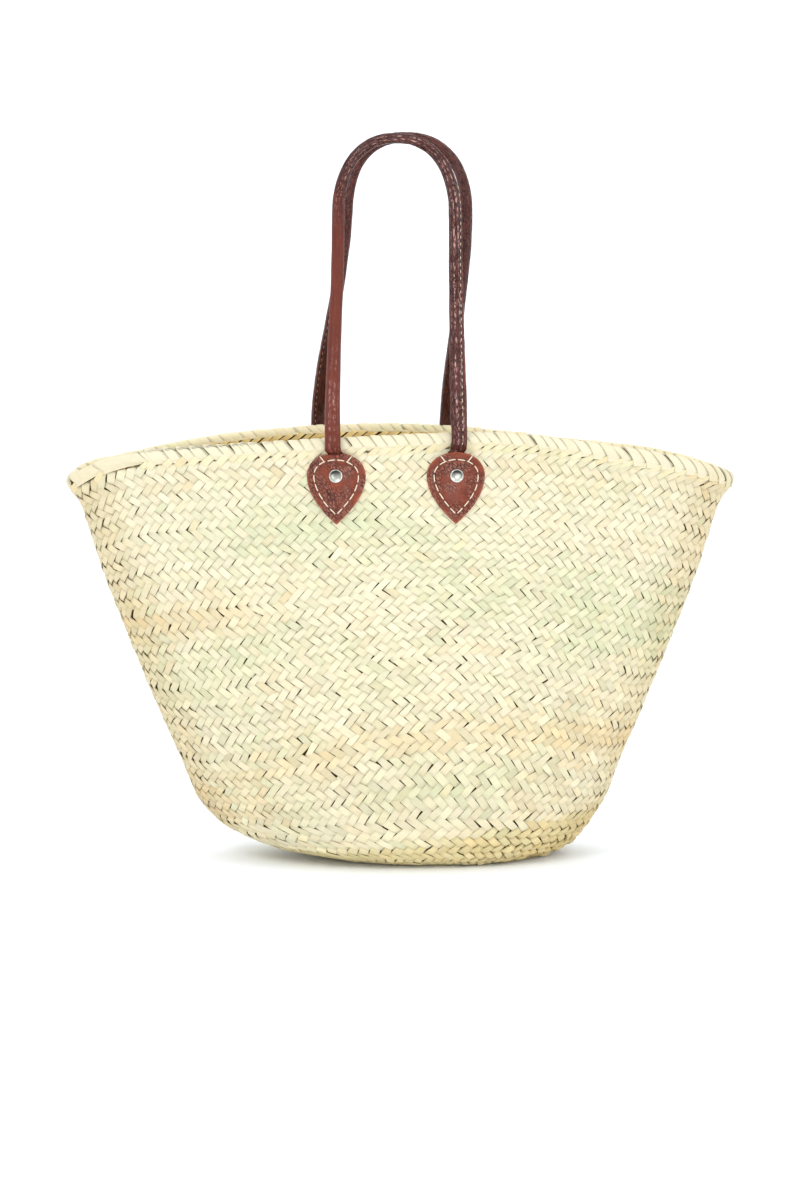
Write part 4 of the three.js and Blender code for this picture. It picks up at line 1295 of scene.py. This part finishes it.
class BASKET_OT_handles(bpy.types.Operator):
    """Roll, crease and stitch the two leather handles"""

    bl_idname = "basket.handles"
    bl_label = "Handles"

    SIDES = 44
    FOOT = 0.031
    STITCH_ANGLE = 0.36

    # Shares of a handle's length, and how wrinkled and how light the leather is there
    SHARES = (0, 0.1, 0.33, 0.42, 0.6, 1)
    FRONT_WRINKLED = (0.2, 0.15, 0.15, 1.0, 1.1, 1.0)
    FRONT_LIGHT = (0.42, 0.42, 0.38, 0.2, 0.2, 0.24)
    BACK_LIGHT = ((0, 0.3, 0.5, 1), (0.12, 0.25, 0.25, 0.2))

    # Lines of painted highlight, each raised a little: angle round the handle and strength, then how strong
    # they are along the front handle
    LINES = ((0.7, 0.3), (1.3, 1.0), (1.95, 0.8), (2.85, 0.5))
    FRONT_HIGHLIGHT = ((0, 0.12, 0.22, 0.34, 0.42, 0.6, 0.84, 0.97), (0.7, 0.5, 0.0, 0.0, 0.8, 1.0, 1.0, 0.35))
    BACK_HIGHLIGHT = 0.3

    def execute(self, context):
        settings = context.scene.basket_leather
        leather = leather_material("handle_leather", tuple(settings.handle_dark),
                                   tuple(settings.handle_light), tuple(settings.wear_and_highlight), grain=0.5,
                                   stretch=0.34, wrinkle=0.8, gloss=0.3)
        # The back handle's stitches take a darker thread, painted shade
        threads = {FRONT: thread_material("seam_thread", tuple(settings.seam_thread)),
                   BACK: thread_material("shaded_back_thread", tuple(settings.shaded_back_thread))}
        for which, row in HANDLES.items():
            name, side = which + "_handle", row[0]
            line = HandleLine(*row)
            finish_piece(self.tube(name, line), "handle_leather", leather, name)
            finish_piece(self.seam_stitches(name, line, settings), "handle_leather", threads[side])
        return {"FINISHED"}

    def tube(self, name, line):
        """The leather tube, its lengthwise wrinkles, its lumps and the raised seam."""
        stations, sides = len(line.walked), self.SIDES
        walked = np.broadcast_to(line.walked[:, None], (stations, sides))
        theta = np.broadcast_to(np.linspace(0, TURN, sides, endpoint=False)[None], walked.shape)
        ring = np.stack([np.cos(theta), np.sin(theta), walked / MILLIMETRE], axis=-1)
        seed = 3.0 if line.side == FRONT else 11.0
        lumps = skin_noise(ring, seed, (1.1, 1.1, 0.045))
        folds = np.abs(skin_noise(ring, seed + 5, (2.6, 2.6, 0.035)))
        fine = skin_noise(ring, seed + 9, (5.0, 5.0, 0.09))
        cross = skin_noise(ring, seed + 2, (1.2, 1.2, 0.42))
        share = walked / line.length
        wrinkled = np.interp(share, self.SHARES, self.FRONT_WRINKLED)
        if line.side == BACK:
            wrinkled = np.maximum(wrinkled, 0.9)
        away = wrapped(theta - line.seam(walked))
        ridge = 0.50 * bell(away, 0.17) - 0.42 * bell(away + self.STITCH_ANGLE, 0.13)
        bare = 1 - smoothstep(line.level[:, 0], 0.4, 1.0)[:, None]
        wavy = np.cos(5 * theta + 2.5 * skin_noise(ring, seed + 7, (0.2, 0.2, 0.012)))
        pressed = wavy * 0.12 * smoothstep(wrinkled, 0.5, 0.9)
        # Ridges raised a little, and given painted highlights in the material
        polish = self.polished(line, theta, share, ring, seed)
        creased = -0.55 * smoothstep(0.11 - folds, 0, 0.11) + fine * 0.12 + cross * 0.12
        lift = bare * (ridge + pressed + polish * 0.3 + lumps * 0.28 + wrinkled * creased)
        points, _out, _forward = line.surface(walked, theta, lift * MILLIMETRE)
        points = np.concatenate([points.reshape(-1, 3), line.middle[[0, -1]]])
        last = (stations - 1) * sides
        faces = [grid_faces(stations, sides, 1, True), cap_faces(0, sides, len(points) - 2, True),
                 cap_faces(last, sides, len(points) - 1)]
        table = (self.SHARES, self.FRONT_LIGHT) if line.side == FRONT else self.BACK_LIGHT
        light = np.interp(share, *table)
        # Painted light and shade: the seam's ridge and the raised parts lighter, the groove beside the
        # stitches and the folds darker, over the leather's own lighter and darker stretches
        wear = np.append(light + ridge * 0.3 + lift * 0.2, [0.3, 0.3])
        radius = HANDLE_THICK / 2 / MILLIMETRE
        hide = np.stack([radius * np.cos(theta), walked / MILLIMETRE, radius * np.sin(theta)], axis=-1)
        hide = np.concatenate([hide.reshape(-1, 3), np.zeros((2, 3))])
        return leather_mesh(name + "_leather", points, faces, hide, wear, np.append(wrinkled, [1.0, 1.0]),
                            np.append(polish, [0.0, 0.0]))

    def polished(self, line, theta, share, ring, seed):
        """The narrow ridges along the handle's front that are raised a little and carry painted highlights,
        from 0 to 1.
        """
        wander = 0.25 * skin_noise(ring, seed + 13, (0.1, 0.1, 0.02))
        broken = smoothstep(skin_noise(ring, seed + 17, (0.6, 0.6, 0.3)), -0.35, 0.1)
        total = sum(size * bell(wrapped(theta - at - wander), 0.14) for at, size in self.LINES)
        wear_and_highlight = np.interp(share, *self.FRONT_HIGHLIGHT) if line.side == FRONT else self.BACK_HIGHLIGHT
        return np.clip(total, 0, 1) * broken * wear_and_highlight

    def seam_stitches(self, name, line, settings):
        """The row of stitches beside the seam's ridge."""
        pitch, half = settings.seam_stitch, 0.3
        count = int((line.length - 2 * self.FOOT) / pitch)
        starts = self.FOOT + np.arange(count) * pitch
        t = np.linspace(-half, half, 7)
        walked = starts[:, None] + (t[None] + 0.5) * pitch
        theta = line.seam(walked) - self.STITCH_ANGLE + t[None] * 0.05
        dip = 0.50 * (np.abs(t) / half) ** 3
        lift = np.broadcast_to(-0.05 - dip[None], walked.shape) * MILLIMETRE
        points, out, forward = line.surface(walked, theta, lift)
        return thread_mesh(name + "_stitches", points, out, forward, 0.32 * MILLIMETRE)


class BASKET_OT_patches(bpy.types.Operator):
    """Cut, crown and stitch the four teardrop patches, and set their rivets"""

    bl_idname = "basket.patches"
    bl_label = "Patches and rivets"

    INSET = 0.0057
    HOLE = 0.0023
    GROOVE_HALF = 0.06
    SHORT_STITCHES = (52, 128)

    # Rings of points from the hole to the groove, across the groove, and from there to the edge
    INNER_RINGS = (0, 0.12, 0.25, 0.38, 0.5, 0.62, 0.74, 0.86, 0.95)
    GROOVE_RINGS = (-0.06, -0.04, -0.02, 0, 0.02, 0.04, 0.06)
    OUTER_RINGS = (0.3, 0.5, 0.7, 0.85, 0.94, 1.0)

    # A rivet, in millimetres: radius and height of the washer and shank, counted from the wall's
    # inside, then of the cap: share of its radius, and height over the patch
    WASHER = ((0, -1.0), (2.2, -0.9), (4.2, -0.7), (5.0, -0.3), (5.0, 0), (2.0, 0))
    SHANK = 2.0
    CAP = ((0.94, 0), (1, 0.4), (0.995, 0.9), (0.95, 1.4), (0.87, 1.7), (0.80, 1.65), (0.72, 1.4),
           (0.62, 1.15), (0.45, 1.0), (0.22, 0.95), (0, 0.95))

    def execute(self, context):
        settings = context.scene.basket_leather
        leather = leather_material("patch_leather", tuple(settings.patch_dark),
                                   tuple(settings.patch_light), tuple(settings.patch_highlight), grain=0.66,
                                   stretch=0.4, wrinkle=0.9, gloss=0.25)
        thread = thread_material("patch_thread", tuple(settings.thread))
        metal = metal_material("rivet_metal", tuple(settings.metal))
        z = RIM_HEIGHT - RIVET_DROP
        number = 0
        for which, (side, spread, *_rest) in HANDLES.items():
            for end, share in (("_left", -0.5), ("_right", 0.5)):
                name, x = which + end, HANDLE_OFFSET + share * spread
                rng = np.random.default_rng(SEED + 50 + number)
                patch = self.patch(name, side, x, z, number)
                finish_piece(patch, "patch_leather", leather, name + "_patch")
                finish_piece(self.stitches(name, side, x, z, rng, settings), "patch_leather", thread)
                finish_piece(self.rivet(name, side, x, z), "rivet_metal", metal, name + "_rivet")
                number += 1
        return {"FINISHED"}

    @staticmethod
    def outward(outline):
        """The way out from the outline, in its own plane."""
        along = np.roll(outline, -1, axis=0) - np.roll(outline, 1, axis=0)
        return unit(np.stack([along[:, 1], -along[:, 0]], axis=1))

    def groove_shares(self, outline):
        """Share of the way from the rivet to the edge at which the stitches' groove lies."""
        reach = np.abs(np.sum(outline * self.outward(outline), axis=1))
        return 1 - self.INSET / np.maximum(reach, self.INSET * 2.2)

    def top(self, out, groove):
        """Height of a patch's top over its underside, from its middle to its edge."""
        crown = 0.5 * (1 - out ** 2)
        sunk = 0.35 * bell(out - groove, 0.045)
        rolled = 0.9 * smoothstep(out, 0.9, 1.0) ** 2
        return PATCH_THICK + (crown - sunk - rolled) * MILLIMETRE

    def patch(self, name, side, x, z, number):
        """A patch, closed round its hole and its edge, with its groove, crown and lumps."""
        outline = patch_outline()
        groove = self.groove_shares(outline)
        hole = self.HOLE / np.linalg.norm(outline, axis=1)
        half = self.GROOVE_HALF
        over = np.array([*(hole + (groove - half - 0.01 - hole) * share for share in self.INNER_RINGS),
                         *(groove + step for step in self.GROOVE_RINGS),
                         *(groove + half + (1 - groove - half) * share for share in self.OUTER_RINGS)])
        under = over[::-4]
        place, below = (outline[None] * rings[..., None] for rings in (over, under))
        flat = np.concatenate([place, below])

        def rough(places, scale, seed):
            return skin_noise(np.concatenate([places * scale, 0 * places[..., :1]], axis=-1), seed)

        lumps = rough(place, 160, number * 7.0)
        ripple = rough(place, 620, number * 3.0)
        bumps = (lumps * 0.16 + ripple * 0.09) * MILLIMETRE
        away = GAP + patch_lift(place[..., 0], place[..., 1]) + self.top(over, groove[None]) + bumps
        skin = off_wall(side, x + place[..., 0], z + place[..., 1], away)
        away = GAP + patch_lift(below[..., 0], below[..., 1])
        back = off_wall(side, x + below[..., 0], z + below[..., 1], away)
        points = np.concatenate([skin, back])
        rows, count = points.shape[:2]
        quads = grid_faces(rows + 1, count, 1, True) % (rows * count)
        if side == FRONT:
            quads = quads[:, ::-1]
        flat = flat / MILLIMETRE
        turned = flat @ np.array([(0.8, 0.6), (0.6, -0.8)]).T
        hide = np.stack([turned[..., 0], turned[..., 1], np.full(flat.shape[:2], number * 40.0)], axis=-1)
        edge = np.concatenate([over, under])
        patchy = rough(flat, 0.09, number * 5.0 + 2)
        wear = 0.29 + 0.26 * patchy + 0.35 * smoothstep(edge, 0.93, 1.0)
        wear = wear + 0.2 * smoothstep(0.5 - edge, 0, 0.4)
        folded = np.clip(0.75 - 1.1 * patchy, 0.2, 1.2)
        # Painted highlights over the wrinkled parts and along the rolled edge
        polish = np.clip(0.42 * smoothstep(folded, 0.5, 1.0) + 0.3 * smoothstep(edge, 0.9, 1.0), 0, 1)
        return leather_mesh(name + "_patch_leather", points, [quads], hide, wear, folded, polish)

    def stitches(self, name, side, x, z, rng, settings):
        """The ring of long stitches inside a patch's edge, and two short ones out to it."""
        outline = patch_outline(60)
        line = outline - self.outward(outline) * self.INSET
        crossed = (line[:, 0] * outline[:, 0] < 0) | (np.abs(outline[:, 0]) < 1e-6) & (outline[:, 1] < 0)
        line = line[~crossed]
        tip = line[np.argmin(line[:, 1])] * (0, 1)
        line = np.concatenate([[tip], line, [tip]])
        walked = walk(line)
        count = round(walked[-1] / (settings.stitch * 1.06))
        half, stations = 0.46, 11
        t = np.linspace(-half, half, stations)
        at = (np.arange(count)[:, None] + 0.5 + t[None]) * walked[-1] / count
        place = np.stack([np.interp(at, walked, line[:, axis]) for axis in range(2)], axis=-1)
        over_edge = 0.4 * MILLIMETRE
        radials = []
        for angle in np.radians(self.SHORT_STITCHES):
            middle = outline[np.argmin(np.abs(np.arctan2(outline[:, 1], outline[:, 0]) - angle))]
            way = middle / np.linalg.norm(middle)
            start = middle - way * (self.INSET + over_edge)
            radials.append(start + way * np.linspace(0, self.INSET + 1.5 * over_edge, stations)[:, None])
        place = np.concatenate([place, radials])
        place = place + rng.normal(0, 0.12 * MILLIMETRE, (len(place), 1, 2))
        high = GAP + patch_lift(place[..., 0], place[..., 1]) + PATCH_THICK
        high = high + (0.22 - 0.9 * np.abs(t / half)[None] ** 4) * MILLIMETRE
        high[-len(radials):] += 0.2 * MILLIMETRE
        points, above = (off_wall(side, x + place[..., 0], z + place[..., 1], away)
                         for away in (high, high + MILLIMETRE))
        forward = unit(np.gradient(points, axis=1))
        out = unit(above - points)
        return thread_mesh(name + "_patch_stitches", points, out, forward, 0.45 * MILLIMETRE, 0.8)

    def rivet(self, name, side, x, z):
        """A pressed rivet: a rounded rim round a shallow dish, its shank, and the washer inside."""
        seat = GAP + TAIL_THICK + GAP + PATCH_THICK + 0.2 * MILLIMETRE
        inside = -WALL - 1.4 * MILLIMETRE
        radius = RIVET_CAP / 2
        profile = [(r * MILLIMETRE, inside + h * MILLIMETRE) for r, h in self.WASHER]
        profile.append((self.SHANK * MILLIMETRE, seat))
        profile += [(radius * r, seat + h * MILLIMETRE) for r, h in self.CAP]
        bpy.ops.object.select_all(action="DESELECT")
        mesh = bpy.data.meshes.new(name + "_rivet_cap")
        thing = bpy.data.objects.new(name + "_rivet_cap", mesh)
        bpy.context.scene.collection.objects.link(thing)
        edges = [(step, step + 1) for step in range(len(profile) - 1)]
        mesh.from_pydata([(r, 0, h) for r, h in profile], edges, [])
        bpy.context.view_layer.objects.active = thing
        thing.select_set(True)
        bpy.ops.object.mode_set(mode="EDIT")
        bpy.ops.mesh.select_all(action="SELECT")
        bpy.ops.mesh.spin(steps=48, angle=TURN, center=(0, 0, 0), axis=(0, 0, 1))
        bpy.ops.mesh.select_all(action="SELECT")
        bpy.ops.mesh.remove_doubles(threshold=0.01 * MILLIMETRE)
        bpy.ops.mesh.normals_make_consistent(inside=False)
        bpy.ops.object.mode_set(mode="OBJECT")
        mesh.shade_smooth()
        # Painted dark reflection in the dish, stronger towards one side
        dish = mesh.attributes.new("dish", "FLOAT", "POINT")
        for vertex, value in zip(mesh.vertices, dish.data):
            reach = math.hypot(vertex.co.x, vertex.co.y) / radius
            shaded = min(1, max(0, 0.55 + 0.9 * vertex.co.y / radius))
            value.value = (1 - float(smoothstep(reach, 0.78, 0.92))) * shaded
        angle, up = wall_place(side, x, z)
        outward = Vector(wall_normal(angle, up))
        turn = Vector((0, 0, 1)).rotation_difference(outward).to_matrix().to_4x4()
        mesh.transform(Matrix.Translation(Vector(wall_point(angle, up))) @ turn)
        return thing


class BASKET_OT_stage(bpy.types.Operator):
    """Set the floor, the light and the camera"""

    bl_idname = "basket.stage"
    bl_label = "Stage"

    AZIMUTH = -3.4
    ELEVATION = 6.7
    TARGET = (-0.0016, 0.0, 0.211)
    IMAGE_HEIGHT = 1200
    FOCAL_PIXELS = 3170.7
    SENSOR = 36.0
    FLOOR_SIZE = 24
    FLOOR_DROP = 0.0002
    # Painted shadow tint: the floor's colour near the bag, where its shadow falls
    FLOOR_SHADOW_TINT = (0.955, 0.975, 1.0)
    SKY = (0.955, 0.975, 1, 1)
    SKY_STRENGTH = 1.28

    # Area lamps: name, place, size and power, and the point that they face
    LAMPS = (
        ("key_light", (-1.5, -2.2, 2.4), 0.8, 20),
        ("fill_light", (2.2, -1.8, 1.6), 0.7, 9),
        ("low_light", (0.3, -3.0, 0.3), 1.2, 12),
        ("top_light", (0.0, 0.6, 3.0), 2.0, 13),
    )
    LIT = (0, 0, 0.25)

    def execute(self, context):
        settings = context.scene.basket_stage
        scene = context.scene
        azimuth, elevation = math.radians(self.AZIMUTH), math.radians(self.ELEVATION)
        back = Vector((math.sin(azimuth) * math.cos(elevation), -math.cos(azimuth) * math.cos(elevation),
                       math.sin(elevation)))
        bpy.ops.object.camera_add(location=Vector(self.TARGET) + back * settings.distance)
        camera = context.object
        camera.rotation_euler = (-back).to_track_quat("-Z", "Y").to_euler()
        camera.data.sensor_fit = "VERTICAL"
        camera.data.sensor_height = self.SENSOR
        camera.data.sensor_width = self.SENSOR
        camera.data.lens = self.FOCAL_PIXELS / self.IMAGE_HEIGHT * self.SENSOR
        camera.data.clip_end = 50
        scene.camera = camera
        scene.view_settings.view_transform = "Standard"

        bpy.ops.object.select_all(action="DESELECT")
        bpy.ops.mesh.primitive_plane_add(size=self.FLOOR_SIZE, location=(0, 0, -self.FLOOR_DROP))
        floor = context.object
        floor.name = "floor"
        bpy.ops.object.transform_apply(location=True, rotation=True, scale=True)
        near = tuple(c * k for c, k in zip(settings.floor, self.FLOOR_SHADOW_TINT))
        floor.data.materials.append(floor_material("pale_floor", tuple(settings.floor), near))

        world = bpy.data.worlds.new("studio")
        scene.world = world
        world.use_nodes = True
        background = world.node_tree.nodes["Background"]
        background.inputs["Color"].default_value = self.SKY
        background.inputs["Strength"].default_value = self.SKY_STRENGTH
        for name, place, size, power in self.LAMPS:
            bpy.ops.object.light_add(type="AREA", location=place)
            lamp = context.object
            lamp.name = name
            lamp.data.size = size
            lamp.data.energy = power
            lamp.rotation_euler = (Vector(self.LIT) - Vector(place)).to_track_quat("-Z", "Y").to_euler()
        return {"FINISHED"}


class BASKET_PT_panel(bpy.types.Panel):
    """The bag's pieces, in the order in which they are made"""

    bl_idname = "BASKET_PT_panel"
    bl_label = "Straw basket bag"
    bl_space_type = "VIEW_3D"
    bl_region_type = "UI"
    bl_category = "Basket"

    def draw(self, context):
        for operator in OPERATORS:
            self.layout.operator(operator.bl_idname)
        for name in SETTINGS:
            box = self.layout.box()
            group = getattr(context.scene, name)
            for key in group.__annotations__:
                box.prop(group, key)


SETTINGS = {
    "basket_plait": PlaitSettings,
    "basket_rim": RimSettings,
    "basket_leather": LeatherSettings,
    "basket_stage": StageSettings,
}
OPERATORS = (BASKET_OT_plait, BASKET_OT_rim, BASKET_OT_handles, BASKET_OT_patches, BASKET_OT_stage)


def register():
    for group in (*SETTINGS.values(), *OPERATORS, BASKET_PT_panel):
        bpy.utils.register_class(group)
    for name, group in SETTINGS.items():
        setattr(bpy.types.Scene, name, PointerProperty(type=group))


def unregister():
    for name in SETTINGS:
        delattr(bpy.types.Scene, name)
    for group in (BASKET_PT_panel, *reversed(OPERATORS), *reversed(SETTINGS.values())):
        bpy.utils.unregister_class(group)


def main():
    register()
    bpy.ops.object.select_all(action="DESELECT")
    bpy.ops.basket.plait()
    bpy.ops.basket.rim()
    bpy.ops.basket.handles()
    bpy.ops.basket.patches()
    bpy.ops.basket.stage()


if __name__ == "__main__":
    main()
